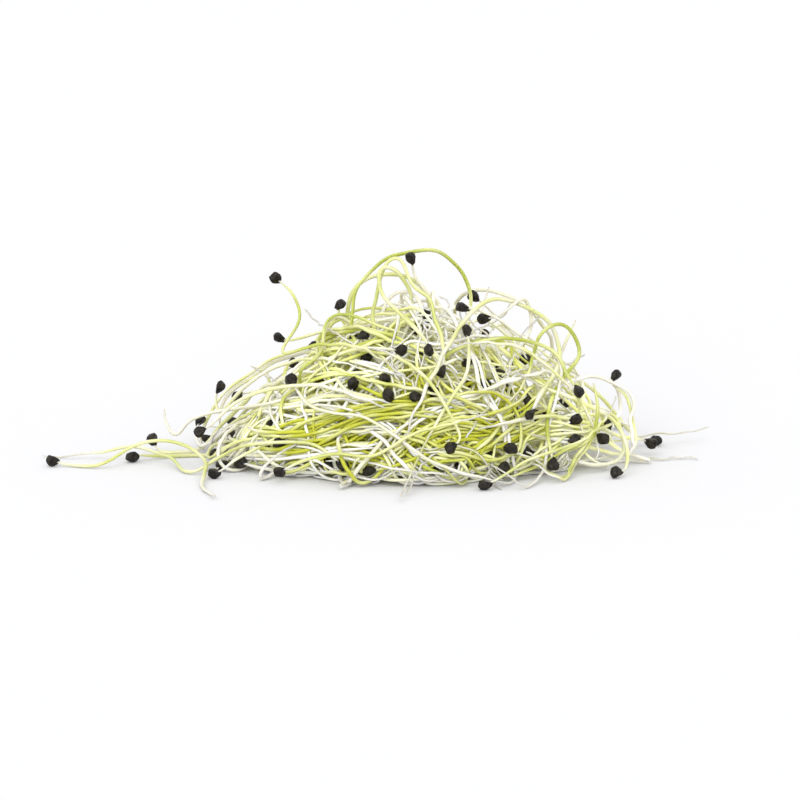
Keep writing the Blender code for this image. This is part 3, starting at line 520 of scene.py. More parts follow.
def level(p, share=1.0):
    """1 on the heap's skin, or on the core's for its share, and less inside."""
    x, y, z = p[..., 0] / share, p[..., 1] / share, p[..., 2] / share
    reach = np.sqrt((x / HEAP_HALF_LENGTH) ** 2 + (y / HEAP_HALF_DEPTH) ** 2) / lumps(np.arctan2(y, x))
    return z / HEAP_HEIGHT + reach**HEAP_SLOPE


def tucked_level(points):
    """The same, with the heap's rim tucked in under it."""
    return level(points) + RIM_TUCK * (1.0 - smooth_step(points[..., 2], 0.0, RIM_HEIGHT))


def outward(p):
    """The way out of the heap, as unit vectors."""
    x, y = p[..., 0] / HEAP_HALF_LENGTH**2, p[..., 1] / HEAP_HALF_DEPTH**2
    z = (p[..., 2] + 6.0) / HEAP_HEIGHT**2
    size = np.sqrt(x * x + y * y + z * z) + 1e-12
    return np.stack([x / size, y / size, z / size], -1)


def smoothed(points, per=12):
    """A smooth curve through the points, with that many steps for each."""
    p = np.asarray(points, float)
    p = np.vstack([2 * p[0] - p[1], p, 2 * p[-1] - p[-2]])
    run = []
    for a, b, c, d in zip(p[:-3], p[1:-2], p[2:-1], p[3:]):
        for step in range(per):
            t = step / per
            run.append(
                0.5 * (2 * b + (c - a) * t + (2 * a - 5 * b + 4 * c - d) * t * t
                       + (3 * b - a - 3 * c + d) * t**3)
            )
    run.append(p[-2])
    return np.array(run)


def step_lengths(line):
    steps = line[1:] - line[:-1]
    return np.sqrt(dot(steps, steps))


def at_lengths(line, wanted):
    along = np.concatenate([[0.0], np.cumsum(step_lengths(line))])
    return np.stack([np.interp(wanted, along, line[:, k]) for k in range(3)], 1)


def strand_points(line, husked):
    """STRAND_POINTS points along the line, closer together where it bends. With a husk, the first two are
    inside the husk and the third is where the stem starts."""
    fine = 160
    total = step_lengths(line).sum()
    spread = np.linspace(0.0, total, fine + 1)
    even = at_lengths(line, spread)
    ways = units(even[1:] - even[:-1])
    turns = ways[1:] - ways[:-1]
    bend = np.sqrt(dot(turns, turns)) / (total / fine)
    bend = np.convolve(np.pad(bend, 6, mode="edge"), np.full(11, 1 / 11), mode="valid")
    weight = 0.35 + np.sqrt(np.minimum(bend, 0.35) / 0.1)
    grown = np.concatenate([[0.0], np.cumsum(0.5 * (weight[1:] + weight[:-1]))])
    if not husked:
        return at_lengths(line, np.interp(np.linspace(0.0, grown[-1], STRAND_POINTS), grown, spread))
    half = 0.5 * HUSK_LENGTH - HUSK_ROOM + 0.05
    start = np.interp(half + NECK, spread, grown)
    stem = at_lengths(line, np.interp(np.linspace(start, grown[-1], STRAND_POINTS - 2), grown, spread))
    way = unit(line[0] - at_lengths(line, np.array([2.0 * half]))[0])
    return np.vstack([line[0] + way * half, line[0] - way * half, stem])


def into_core(points):
    """The points of a route, carried on from its last end until they are well inside the core."""
    points = list(points)
    way = unit(points[-1] - points[-2])
    while level(points[-1], CORE_SHARE) > 0.8:
        points.append(points[-1] - outward(points[-1]) * 4.0 + way * 1.6)
    return points


def random_waves(rng, size, count):
    return [
        (rng.uniform(0.4, 1.0) * size, 2 * math.pi / rng.uniform(22, 60), rng.uniform(0, 2 * math.pi))
        for _ in range(count)
    ]


def waving(waves, grown):
    return sum(size * math.sin(rate * grown + turn) for size, rate, turn in waves)


def curly_line(rng, count):
    """A strand that rises from the core near the heap's top. It turns by smooth random amounts, and is
    steered to stay under the skin, over the floor and outside the core."""
    around, reach = count * GOLDEN_TURN + rng.uniform(-0.4, 0.4), rng.uniform(0.05, 0.7)
    x = HEAP_HALF_LENGTH * CORE_SHARE * reach * math.cos(around)
    y = HEAP_HALF_DEPTH * CORE_SHARE * reach * math.sin(around)
    top = HEAP_HEIGHT * CORE_SHARE * (1.0 - reach**HEAP_SLOPE)
    p = np.array([x, y, top * rng.uniform(0.35, 0.8)])
    aside = [rng.choice((-0.8, 0.8)), rng.uniform(-0.8, 0.8), rng.uniform(0.0, 0.6)]
    way = unit(outward(p) + np.array(aside))
    side = unit(np.cross(way, SIDE_HINT))
    curl, skin, length = rng.uniform(0.05, 0.09), rng.uniform(0.97, 1.08), rng.uniform(50, 75)
    sideways, upright = random_waves(rng, curl, 2), random_waves(rng, curl, 2)
    run = [p]
    for grown in range(int(length)):
        away = outward(p)
        turn = waving(sideways, grown) * side + waving(upright, grown) * np.cross(way, side)
        turn = turn - away * 0.3 * ramp(float(level(p)), 0.86 * skin, 1.15 * skin)
        turn = turn + away * 0.16 * (1.0 - ramp(float(level(p, CORE_SHARE)), 1.0, 1.25))
        turn = turn + np.array([0.0, 0.0, 0.2 * (1.0 - ramp(p[2], 1.0, 5.0))])
        way = unit(way + turn)
        side = unit(side - way * float(side @ way))
        p = p + way
        run.append(p)
    return np.array(run)


def flank_line(rng, count):
    """A strand laid along the heap's front or back. It starts in the core, runs round the heap in one of
    its layers at a height that changes slowly, and its free end stands out a little."""
    length, rise, turning = rng.uniform(50, 78), rng.uniform(-0.2, 0.2), rng.choice((-1.0, 1.0))
    height = 1.0 + FLANK_HEIGHT * ((count * 0.618) % 1.0) ** 1.15
    layer = 0.68 + 0.3 * ((count * 0.755) % 1.0)
    facing = 0.5 * math.pi if count % 6 == 4 else -0.5 * math.pi
    around = facing + rng.uniform(-0.6, 0.6) - turning * 0.5 * length / 36.0
    lifts, layers = random_waves(rng, 1.3, 2), random_waves(rng, 0.04, 2)
    stands_out = rng.uniform(0.0, 0.22)
    run = []
    for grown in range(int(length)):
        over = height + rise * (grown - 0.5 * length) + waving(lifts, grown) - 0.9
        z = 0.9 + 0.5 * (over + math.sqrt(over * over + 3.0))
        at = layer + waving(layers, grown) + stands_out * ramp(grown, length - 25, length)
        at = 0.8 * CORE_SHARE + (at - 0.8 * CORE_SHARE) * ramp(grown, 0.0, 16.0)
        reach = at * max(1.0 - z / (at * HEAP_HEIGHT), 0.03) ** (1.0 / HEAP_SLOPE)
        x, y = HEAP_HALF_LENGTH * math.cos(around), HEAP_HALF_DEPTH * math.sin(around)
        reach *= float(lumps(np.arctan2(y, x)))
        run.append([x * reach, y * reach, z])
        arm = math.hypot(HEAP_HALF_LENGTH * math.sin(around), HEAP_HALF_DEPTH * math.cos(around))
        around += turning / max(reach * arm, 6.0)
    return np.array(run)


def draped_line(rng, count):
    """A strand draped over the heap in one of its layers. Seen from above it is a wavy line, mostly along
    the heap, whose middles are spread evenly. It starts in the core too."""
    spread, around = math.sqrt((count + 0.5) / GROWN_STRANDS), count * GOLDEN_TURN
    length, heading = rng.uniform(55, 80), rng.gauss(0.0, 0.55) + rng.choice((0.0, math.pi))
    x = 0.94 * HEAP_HALF_LENGTH * spread * math.cos(around) - 0.5 * length * math.cos(heading)
    y = HEAP_HALF_DEPTH * spread * math.sin(around) - 0.5 * length * math.sin(heading)
    layer = 0.76 + 0.25 * ((count * 0.755) % 1.0)
    bends, layers = random_waves(rng, 0.02, 2), random_waves(rng, 0.03, 2)
    stands_out = rng.uniform(0.0, 0.2)
    run = []
    for grown in range(int(length)):
        at = layer + waving(layers, grown)
        reach = float(level(np.array([x / at, y / at, 0.0])))
        over = at * HEAP_HEIGHT * (1.0 - reach) - 0.9
        z = 0.9 + 0.5 * (over + math.sqrt(over * over + 12.0))
        out = 0.75 * CORE_SHARE / at + (1.0 - 0.75 * CORE_SHARE / at) * ramp(grown, 0.0, 18.0)
        out += stands_out * ramp(grown, length - 22, length)
        run.append([x * out, y * out, z * out])
        inward = math.atan2(-y, -x) - heading
        heading += waving(bends, grown) + 0.09 * math.sin(inward) * ramp(reach, 0.75, 1.3)
        x += 0.82 * math.cos(heading)
        y += 0.82 * math.sin(heading)
    return np.array(run)


def grown_line(rng, count):
    """A grown strand, grown again until it stays in the heap and over the floor."""
    grow = (curly_line, draped_line, flank_line, draped_line, flank_line, flank_line)[count % 6]
    while True:
        line = grow(rng, count)
        if level(line).max() < FURTHEST_LEVEL and line[:, 2].min() > 0.3:
            return line


def near_pairs(middles, reach):
    """The pairs of points that are less than reach apart, found on a grid."""
    cell = np.floor(middles / reach).astype(np.int64)
    cell -= cell.min(0) - 1
    span = cell.max(0) + 2
    key = (cell[:, 0] * span[1] + cell[:, 1]) * span[2] + cell[:, 2]
    order = np.argsort(key, kind="stable")
    ranked = key[order]
    first, second = [], []
    for dx in (0, 1):
        for dy in (-1, 0, 1):
            for dz in (-1, 0, 1):
                shift = (dx * span[1] + dy) * span[2] + dz
                if shift < 0:
                    continue
                low = np.searchsorted(ranked, key + shift, side="left")
                count = np.searchsorted(ranked, key + shift, side="right") - low
                i = np.repeat(np.arange(len(key)), count)
                within = np.arange(count.sum()) - np.repeat(np.cumsum(count) - count, count)
                j = order[np.repeat(low, count) + within]
                new = i < j if shift == 0 else np.ones(len(i), bool)
                first.append(i[new])
                second.append(j[new])
    i, j = np.concatenate(first), np.concatenate(second)
    apart = middles[i] - middles[j]
    near = dot(apart, apart) < reach * reach
    return i[near], j[near]


def closest(a_start, a_end, b_start, b_end):
    """How far along each of two segments the point nearest the other one is, from 0 to 1."""
    a_way, b_way, apart = a_end - a_start, b_end - b_start, a_start - b_start
    aa, bb, ab = dot(a_way, a_way), dot(b_way, b_way), dot(a_way, b_way)
    a_apart, b_apart = dot(a_way, apart), dot(b_way, apart)
    s = np.clip((ab * b_apart - a_apart * bb) / np.maximum(aa * bb - ab * ab, 1e-9 * aa * bb), 0, 1)
    t = np.clip((ab * s + b_apart) / bb, 0, 1)
    return np.clip((ab * t - a_apart) / aa, 0, 1), t


def gap_between(flat, first, second):
    """The shortest way from one segment to another, its length, and how far along both it starts."""
    s, t = closest(flat[first], flat[first + 1], flat[second], flat[second + 1])
    gap = flat[first] + (flat[first + 1] - flat[first]) * s[:, None]
    gap = gap - flat[second] - (flat[second + 1] - flat[second]) * t[:, None]
    return gap, np.sqrt(dot(gap, gap)), s, t


def first_shape(lines):
    """The strands' step lengths and bends, and the strand and the place along it of each segment."""
    strands, points, _ = lines.shape
    steps = lines[:, 1:] - lines[:, :-1]
    bends = lines[:, 1:-1] - 0.5 * (lines[:, :-2] + lines[:, 2:])
    strand = np.repeat(np.arange(strands), points - 1)
    return np.sqrt(dot(steps, steps)), bends, strand, np.tile(np.arange(points - 1), strands)


def segment_middles(lines):
    return (0.5 * (lines[:, 1:] + lines[:, :-1])).reshape(-1, 3)


def push_apart(flat, first, second, wanted, share, strength, undo_crossings):
    """The points after every two segments that are too close have been pushed apart by that share of what
    is missing. Two that all but meet can be pushed square to both."""
    gap, distance, s, t = gap_between(flat, first, second)
    hit = distance < wanted
    a, b, s, t, distance = first[hit], second[hit], s[hit], t[hit], distance[hit]
    way = gap[hit] / np.maximum(distance, 1e-9)[:, None]
    if undo_crossings:
        square = np.cross(flat[a + 1] - flat[a], flat[b + 1] - flat[b])
        square = square / np.sqrt(dot(square, square) + 1e-12)[:, None]
        way = np.where((distance < CROSSED)[:, None], square, way)
    push = (share[hit] * (wanted[hit] - distance))[:, None] * way
    moves, count = np.zeros_like(flat), np.zeros(len(flat))
    for at, weight, sign in ((a, 1 - s, 1), (a + 1, s, 1), (b, 1 - t, -1), (b + 1, t, -1)):
        for axis in range(3):
            moves[:, axis] += np.bincount(at, push[:, axis] * weight * sign, len(flat))
        count += np.bincount(at, weight, len(flat))
    return flat + moves * (strength / np.maximum(count, 1.0))[:, None]


def move_back(pts, lines, bends, unbending, returning):
    """How far the points move back towards the strands' first bends, and towards their first place."""
    bend = pts[:, 1:-1] - 0.5 * (pts[:, :-2] + pts[:, 2:]) - bends
    fix = np.zeros_like(pts)
    fix[:, 1:-1] -= bend * 0.5
    fix[:, :-2] += bend * 0.25
    fix[:, 2:] += bend * 0.25
    return unbending * fix + returning * (lines - pts)


def keep_lengths(pts, rest, free):
    """Moves the free points so that every step has its first length again."""
    for odd in (0, 1, 0, 1):
        start, end = pts[:, odd:-1:2], pts[:, odd + 1::2]
        way = end - start
        size = np.sqrt(dot(way, way)) + 1e-12
        shift = way * ((size - rest[:, odd::2]) / size * 0.5)[..., None] * free
        start += shift
        end -= shift


def bend_clear(lines, radii, fused):
    """Bends the strands apart where they would cross, keeping their lengths and most of their shape. Two
    fused ones may come closer, and may meet inside the core."""
    pts = lines.copy()
    points = pts.shape[1]
    rest, bends, strand, place = first_shape(pts)
    along = np.cumsum(rest, 1).ravel()
    thick = radii.ravel()
    room = np.maximum(
        np.pad(radii, ((0, 0), (1, 0)), mode="edge"), np.pad(radii, ((0, 0), (0, 1)), mode="edge")
    )
    reach = float(rest.max() + 2 * thick.max() + CLEAR + 0.6)
    core_depth = CORE_SHARE * CORE_DEPTH
    own = (~fused).astype(float)[:, None]
    for turn in range(ROUNDS):
        if turn % 6 == 0:
            middles = segment_middles(pts)
            i, j = near_pairs(middles, reach)
            apart = (np.abs(place[i] - place[j]) > 2) & (np.abs(along[i] - along[j]) > 7.0)
            inside = level(middles, CORE_SHARE) < 0.97
            both = fused[strand[i]] & fused[strand[j]]
            used = ((strand[i] != strand[j]) | apart) & ~(both & (inside[i] | inside[j]))
            i, j, both = i[used], j[used], both[used]
            first, second = strand[i] * points + place[i], strand[j] * points + place[j]
            wanted = thick[i] + thick[j] + np.where(both, CLEAR_FUSED, CLEAR)
            share = np.full(len(i), 0.5)
        pts = push_apart(pts.reshape(-1, 3), first, second, wanted, share, 1.6, True).reshape(pts.shape)
        ease = 1.0 if turn < ROUNDS * 0.6 else 0.3
        pts = pts + ease * move_back(pts, lines, bends, 0.25, 0.02)
        keep_lengths(pts, rest, 1.0)
        pts[..., 2] = np.maximum(pts[..., 2], room + FLOOR_CLEAR)
        short = 1.0 + (room + CORE_CLEAR) / core_depth - level(pts, CORE_SHARE)
        pts = pts + outward(pts) * (np.clip(short, 0.0, 0.2) * core_depth * own)[..., None]
    return pts


def settle(lines, radii, held, limits):
    """Bends the strands that aren't held clear of each other and of the held ones, as bend_clear does, and
    keeps each under its limit of the heap's layers."""
    pts = lines.copy()
    points = pts.shape[1]
    rest, bends, strand, place = first_shape(pts)
    thick = radii.ravel()
    reach = float(np.percentile(rest, 99) + 2 * FINE_STEM + PAIR_MARGIN)
    free = (~held).astype(float)[:, None, None]
    strength = 1.5 * np.repeat(~held, points)
    floor = np.pad(radii, ((0, 0), (1, 0)), mode="edge") + FLOOR_CLEAR
    for turn in range(FURTHER_ROUNDS):
        flat = pts.reshape(-1, 3)
        if turn % 8 == 0:
            i, j = near_pairs(segment_middles(pts), reach)
            used = (strand[i] != strand[j]) & ~(held[strand[i]] & held[strand[j]])
            i, j = i[used], j[used]
            first, second = strand[i] * points + place[i], strand[j] * points + place[j]
            wanted = thick[i] + thick[j] + FURTHER_CLEAR
            used = gap_between(flat, first, second)[1] < wanted + PAIR_MARGIN
            i, j, first, second, wanted = i[used], j[used], first[used], second[used], wanted[used]
            share = np.where(held[strand[i]] | held[strand[j]], 1.0, 0.5)
        pts = push_apart(flat, first, second, wanted, share, strength, False).reshape(pts.shape)
        pts = pts + free * move_back(pts, lines, bends, 0.2, 0.01)
        keep_lengths(pts, rest, free)
        over = np.clip(tucked_level(pts) - limits[:, None], 0.0, 0.2) * free[..., 0]
        pts = pts - outward(pts) * (0.3 * CORE_DEPTH * over)[..., None]
        pts[..., 2] = np.where(held[:, None], pts[..., 2], np.maximum(pts[..., 2], floor))
    return pts


def all_strands():
    """Names, points, husked and fused, for every strand of the heap before they are bent clear."""
    names, lines, husked, fused = [], [], [], []

    def add(name, line, has_husk, is_fused):
        names.append(name)
        lines.append(strand_points(line, has_husk))
        husked.append(has_husk)
        fused.append(is_fused)

    for name, route in OWN_ROUTES.items():
        add(name, smoothed([seen_at(*p) for p in route]), True, False)
    for name, route in BACK_ROUTES.items():
        add(name, smoothed(route), True, False)
    for name, route in FUSED_ROUTES.items():
        add(name, smoothed(into_core([seen_at(*p) for p in route])), name not in NO_HUSK, True)
    rng = random.Random(GROWN_SEED)
    for count in range(GROWN_STRANDS):
        has_husk = rng.random() < HUSKED_SHARE
        add(f"grown_{count + 1:02d}", grown_line(rng, count)[::-1], has_husk, True)
    return names, np.round(np.array(lines), 4), np.array(husked), np.array(fused)


def openness(p):
    """How loosely the heap is laid there: 1 in its airy upper right, and 0 where it is packed."""
    return ramp(p[0], -10.0, 14.0) * ramp(p[2], 9.0, 21.0)


def sparse(rng, p, most):
    """Whether a strand is left out there, because the heap is airy or runs out to its right."""
    return rng.random() < most * max(openness(p), ramp(p[0], 22.0, 38.0))


def walk(rng, start, way, steps, curl, layer, sink=END_SINK):
    """A line of 1 mm steps that turns by smooth random amounts, and is steered to one layer of the heap.
    It sinks below that layer at its end."""
    side = unit(np.cross(way, SIDE_HINT))
    sideways, upright = random_waves(rng, curl, 2), random_waves(rng, 0.6 * curl, 2)
    p, run = start, []
    for grown in range(steps):
        away = outward(p)
        turn = waving(sideways, grown) * side + waving(upright, grown) * np.cross(way, side)
        sunk = sink * ramp(grown, steps - END_STEPS, steps)
        off = bounded(float(level(p)) - layer + sunk, -0.15, 0.15)
        turn = turn - away * (1.2 * off + 0.2 * float(way @ away))
        turn = turn + np.array([0.0, 0.0, 0.3 * (1.0 - ramp(p[2], 0.8, 3.5))])
        way = unit(way + turn)
        side = unit(side - way * float(side @ way))
        p = p + way
        run.append(p)
    return run


def both_ways(rng, start, way, steps, curl, layer, sink=END_SINK):
    """A line grown both ways from the point, with a random number of steps each way, between those two."""
    back = walk(rng, start, -way, rng.randint(*steps), curl, layer, sink)[::-1]
    return np.array(back + [start] + walk(rng, start, way, rng.randint(*steps), curl, layer, sink))


def flow(rng, p):
    """A way along the heap's skin there. Most run the heap's long way, but fewer at its right and top."""
    away = outward(p)
    along = unit(np.array([1.0, 0.0, 0.0]) - away * away[0])
    turn = rng.gauss(0.0, 0.6 + 0.5 * ramp(p[0], 0.0, 28.0) + 0.8 * ramp(p[2], 10.0, 22.0))
    return (along * math.cos(turn) + np.cross(away, along) * math.sin(turn)) * rng.choice((-1.0, 1.0))


def on_skin(across, up, layer):
    """The point of the heap's layer that shows that far across and up. Beyond the heap's edge, it is
    where the ray passes nearest to it."""
    near, far = seen_at(across, up, -60.0), seen_at(across, up, 40.0)
    ray = near + np.linspace(0.0, 1.0, 201)[:, None] * (far - near)
    ray = ray[ray[:, 2] > 0.7]
    off = level(ray) - layer
    inside = np.flatnonzero(off < 0.0)
    return ray[inside[0] if len(inside) else int(off.argmin())]


def route_on_skin(route, layer):
    """A smooth line over a route read off the photo. Its depth is evened out where the heap is lumpy."""
    points = np.array([on_skin(across, up, layer) for across, up in route])
    depths = points[:, 1].copy()
    for turn in range(2):
        depths[1:-1] = 0.25 * depths[:-2] + 0.5 * depths[1:-1] + 0.25 * depths[2:]
    return smoothed([seen_at(*spot, depth) for spot, depth in zip(route, depths)], 6)


def carried_on(rng, line, before, after, layer):
    """The line, carried on into the heap at its ends by that many steps."""
    run = list(line)
    if before:
        run = walk(rng, run[0], unit(run[0] - run[2]), before, 0.05, layer)[::-1] + run
    if after:
        run = run + walk(rng, run[-1], unit(run[-1] - run[-3]), after, 0.05, layer)
    return np.array(run)


def beside(rng, line):
    """A strand that keeps near another one's line for a while, then goes its own way in the heap."""
    total = step_lengths(line).sum()
    part = at_lengths(line, np.arange(rng.uniform(0.0, 0.3) * total, rng.uniform(0.65, 1.0) * total, 1.0))
    away = outward(part)
    sides = units(np.cross(np.gradient(part, axis=0), away))
    sway, first, last = random_waves(rng, 0.8, 2), rng.gauss(0.0, BUNDLE_GAP), rng.gauss(0.0, BUNDLE_GAP)
    swaying = np.array([waving(sway, grown) for grown in range(len(part))])
    shift = np.linspace(first, last, len(part)) + swaying
    part = part + sides * shift[:, None] - away * rng.uniform(0.0, 1.6)
    return carried_on(rng, part, rng.randint(5, 16), rng.randint(5, 16), rng.uniform(0.8, 0.95))


def laid_leader(rng):
    """A strand laid along one of the heap's outer layers, grown both ways from its middle."""
    while True:
        reach, around = math.sqrt(rng.random()), rng.uniform(0.0, 2 * math.pi)
        x = HEAP_HALF_LENGTH * reach * math.cos(around)
        y = HEAP_HALF_DEPTH * reach * math.sin(around)
        layer = rng.uniform(0.8, 1.0)
        start = np.array([x, y, HEAP_HEIGHT * (layer - float(level(np.array([x, y, 0.0]))))])
        if start[2] > 1.0 and not sparse(rng, start, MOST_SPARSE):
            break
    way, curl = flow(rng, start), rng.uniform(0.045, 0.095) * (1.0 + ramp(start[2], 10.0, 20.0))
    return both_ways(rng, start, way, (18, 34), curl, layer)


def inner_line(rng):
    """A strand anywhere inside the heap, grown both ways from its middle."""
    sizes = ((-HEAP_HALF_LENGTH, HEAP_HALF_LENGTH), (-HEAP_HALF_DEPTH, HEAP_HALF_DEPTH), (1.0, HEAP_HEIGHT))
    while True:
        start = np.array([rng.uniform(low, high) for low, high in sizes])
        layer = float(level(start))
        if INNER_LAYERS[0] < layer < INNER_LAYERS[1] and not sparse(rng, start, MOST_SPARSE):
            break
    way, curl = flow(rng, start), rng.uniform(0.04, 0.09)
    return both_ways(rng, start, way, (20, 36), curl, layer)


def airy_curl(rng):
    """A thin curl in the heap's airy upper right, where the photo shows many."""
    start = on_skin(rng.uniform(-8.0, 34.0), rng.uniform(14.0, 32.0), rng.uniform(0.86, 1.0))
    aside, curl = unit(np.array([rng.gauss(0, 1) for _ in range(3)])), rng.uniform(0.1, 0.19)
    way = unit(aside - 0.8 * outward(start) * float(aside @ outward(start)))
    return both_ways(rng, start, way, (12, 24), curl, 0.93, 0.0)


# A strand that only the scene has. Its tone is nothing where its place decides how green it is
Further = namedtuple("Further", "piece points husked tone radius")


def further_strands():
    rng = random.Random(FURTHER_SEED)
    found = []

    def add(piece, line, husked, tone=None, radius=FINE_STEM):
        found.append(Further(piece, strand_points(line, husked), husked, tone, radius))

    for tone, others, route in SEEN_ROUTES.values():
        line = carried_on(rng, route_on_skin(route, SKIN), 8, 10, 0.85)
        add("seen_stems", line, False, tone)
        for count in range(others):
            other = beside(rng, line)
            add("seen_stems", other, False, bounded(tone + rng.gauss(0.0, 0.15), 0.0, 1.0))
    for route in ROOT_TIPS:
        line = route_on_skin(route, SKIN)[::-1]
        add("root_tips", carried_on(rng, line, 26, 0, 0.9), False, 0.0, TIP_STEM)
    for spots, layer in ((HUSK_SPOTS, HUSK_SKIN), (COVERED_SPOTS, COVERED_SKIN)):
        for across, up in spots:
            spot = on_skin(across, up, layer)
            run = walk(rng, spot, flow(rng, spot), rng.randint(40, 60), rng.uniform(0.04, 0.07), 0.9)
            add("husked_stems", np.array([spot] + run), True)
    for count in range(AIRY_CURLS):
        add("airy_curls", airy_curl(rng), False, rng.uniform(*AIRY_TONES), rng.uniform(*AIRY_WIDTHS))
    for bundle in range(LAID_BUNDLES):
        leader = laid_leader(rng)
        add("laid_stems", leader, leader[0][1] > HUSKS_FROM and rng.random() < LEADERS_HUSKED)
        bundled = leader[len(leader) // 2][2] < BUNDLED_UNDER
        for count in range(rng.randint(0, 2) if bundled else 0):
            other = beside(rng, leader)
            add("laid_stems", other, other[0][1] > HUSKS_FROM and rng.random() < OTHERS_HUSKED)
    for count in range(INNER_STRANDS):
        line = inner_line(rng)
        add("inner_stems", line, line[0][1] > -HUSKS_FROM and rng.random() < INNER_HUSKED)
    return found


def bent_into_place(lines, radii, found):
    """The further strands' points, bent clear of each other and of the solids' strands, which are held."""
    new = np.round(np.array([strand.points for strand in found]), 4)
    room = np.repeat(0.9 * np.array([strand.radius for strand in found])[:, None], STRAND_POINTS - 1, 1)
    room[[strand.husked for strand in found], 0] = HUSK_ROOM
    seen = ("seen_stems", "root_tips", "husked_stems")
    limits = [SEEN_LIMIT if strand.piece in seen else LAID_LIMIT for strand in found]
    limits = np.array([NO_LIMIT] * len(lines) + limits)
    held = np.arange(len(limits)) < len(lines)
    return settle(np.vstack([lines, new]), np.vstack([radii, room]), held, limits)[len(lines):]


def middle_lines(points, husked, rng):
    """Fine middle lines for the strands, softened where they were bent clear, with crinkled roots. With a
    husk, the line starts inside it."""
    runs = []
    for line, has_husk in zip(points, husked):
        if has_husk:
            inside = 0.4 * line[0] + 0.6 * line[1]
            line = np.vstack([inside, line[2:]])
        run = smoothed(line, 6)
        total = step_lengths(run).sum()
        runs.append(at_lengths(run, np.linspace(0.0, total, STRAND_POINTS * FINE_PER)))
    fine = np.array(runs)
    for turn in range(SOFTENED):
        fine[:, 1:-1] = 0.25 * fine[:, :-2] + 0.5 * fine[:, 1:-1] + 0.25 * fine[:, 2:]
    ways = np.gradient(fine, axis=1)
    sides = units(np.cross(ways, SIDE_HINT))
    ups = units(np.cross(sides, ways))
    part, count = np.linspace(0.0, 1.0, fine.shape[1])[None, :], len(fine)
    reach = CRINKLE * smooth_step(part, 0.4, 0.8) * rng.uniform(0.0, 1.0, (count, 1))
    for way in (sides, ups):
        turns = part * rng.uniform(40.0, 75.0, (count, 1)) + rng.uniform(0.0, 6.0, (count, 1))
        fine = fine + way * (reach * np.sin(turns))[..., None]
    return fine


def fine_tubes(centres, radii, flats, turns, sides_round):
    """Rings of points round each middle line, carried along it without twist. Shapes: (strands, rings, 3)
    and (strands, rings). Gives the rings' points, and each point's place round its ring."""
    ways = units(np.gradient(centres, axis=1))
    side = units(np.cross(ways[:, 0], SIDE_HINT))
    sides = np.empty_like(centres)
    for ring in range(centres.shape[1]):
        way = ways[:, ring]
        side = units(side - way * dot(side, way)[:, None])
        sides[:, ring] = side
    ups = np.cross(ways, sides)
    around = np.linspace(0.0, 2 * math.pi, sides_round, endpoint=False)[None, None, :] + turns[..., None]
    across = (np.cos(around) * radii[..., None])[..., None] * sides[:, :, None]
    over = (np.sin(around) * (radii * flats)[..., None])[..., None] * ups[:, :, None]
    return centres[:, :, None] + across + over, around


def tube_faces(strands, rings, sides_round):
    """The faces of the tubes, with a fan at each end, for points in the order of strand, ring and side, and
    then each strand's two end points."""
    faces, pairs = [], [(k, (k + 1) % sides_round) for k in range(sides_round)]
    for strand in range(strands):
        base = strand * (rings * sides_round + 2)
        tips = base + rings * sides_round
        last = tips - sides_round
        for low in range(base, last, sides_round):
            high = low + sides_round
            faces += [(low + k, low + n, high + n, high + k) for k, n in pairs]
        faces += [(base + n, base + k, tips) for k, n in pairs]
        faces += [(last + k, last + n, tips + 1) for k, n in pairs]
    return faces


def mix(a, b, t):
    return a + (b - a) * t[..., None]


def place_tones(points):
    """How green the heap is at each point."""
    tone = np.full(points.shape[:-1], LEAST_GREEN)
    for across, height, wide, high, much in GREEN_PLACES:
        off = ((points[..., 0] - across) / wide) ** 2 + ((points[..., 2] - height) / high) ** 2
        tone += much * np.exp(-off)
    return tone


def tints(part, tone, lemon, layers, radii):
    """The colour of each ring: white at the husk and the root, and as green as the tone says between. Rings
    inside the heap are painted brighter, warmer and a little greener, as painted light for light that has
    gone through many stems. Slender ones are greyer."""
    # How deep each ring lies in the heap, which sets the painted light below
    deepness = 1.0 - smooth_step(layers, 0.8, 1.08)
    tone = tone * smooth_step(part, -0.03, 0.12) * (1.0 - smooth_step(part, 0.62, 1.0))
    # Painted light: deeper rings are painted a little greener
    tone = np.clip(tone + PAINTED_INNER_TONE * deepness, 0.0, 1.0)
    deep = mix(GREEN[None, None], LEMON[None, None], lemon)
    white = mix(WHITE[None, None], ROOT_WHITE[None, None], smooth_step(part, 0.6, 0.9))
    light = mix(white, PALE[None, None], smooth_step(tone, 0.0, 0.4))
    greenness = smooth_step(tone, 0.15, 1.1)
    # Own colour, with painted light: deeper rings are painted warmer, with less blue
    colour = mix(light, deep, greenness) * (1.0 - PAINTED_INNER_WARMTH * deepness[..., None])
    # Painted light: deeper rings are painted brighter, green ones less, never past BRIGHTEST
    glow = 1.0 + PAINTED_INNER_GLOW * deepness * (1.0 - GREEN_SHADE * greenness)
    shade = SLENDER_SHADE + (1.0 - SLENDER_SHADE) * smooth_step(radii, *SLENDER_RADII)
    return colour * (np.minimum(glow, BRIGHTEST / colour.max(-1)) * shade)[..., None]


def ripple(rng, along, low, high):
    """A wave along each strand, with a pace between those two and a start of its own."""
    count = len(along)
    return np.sin(along / rng.uniform(low, high, count)[:, None] + rng.uniform(0, 6, count)[:, None])


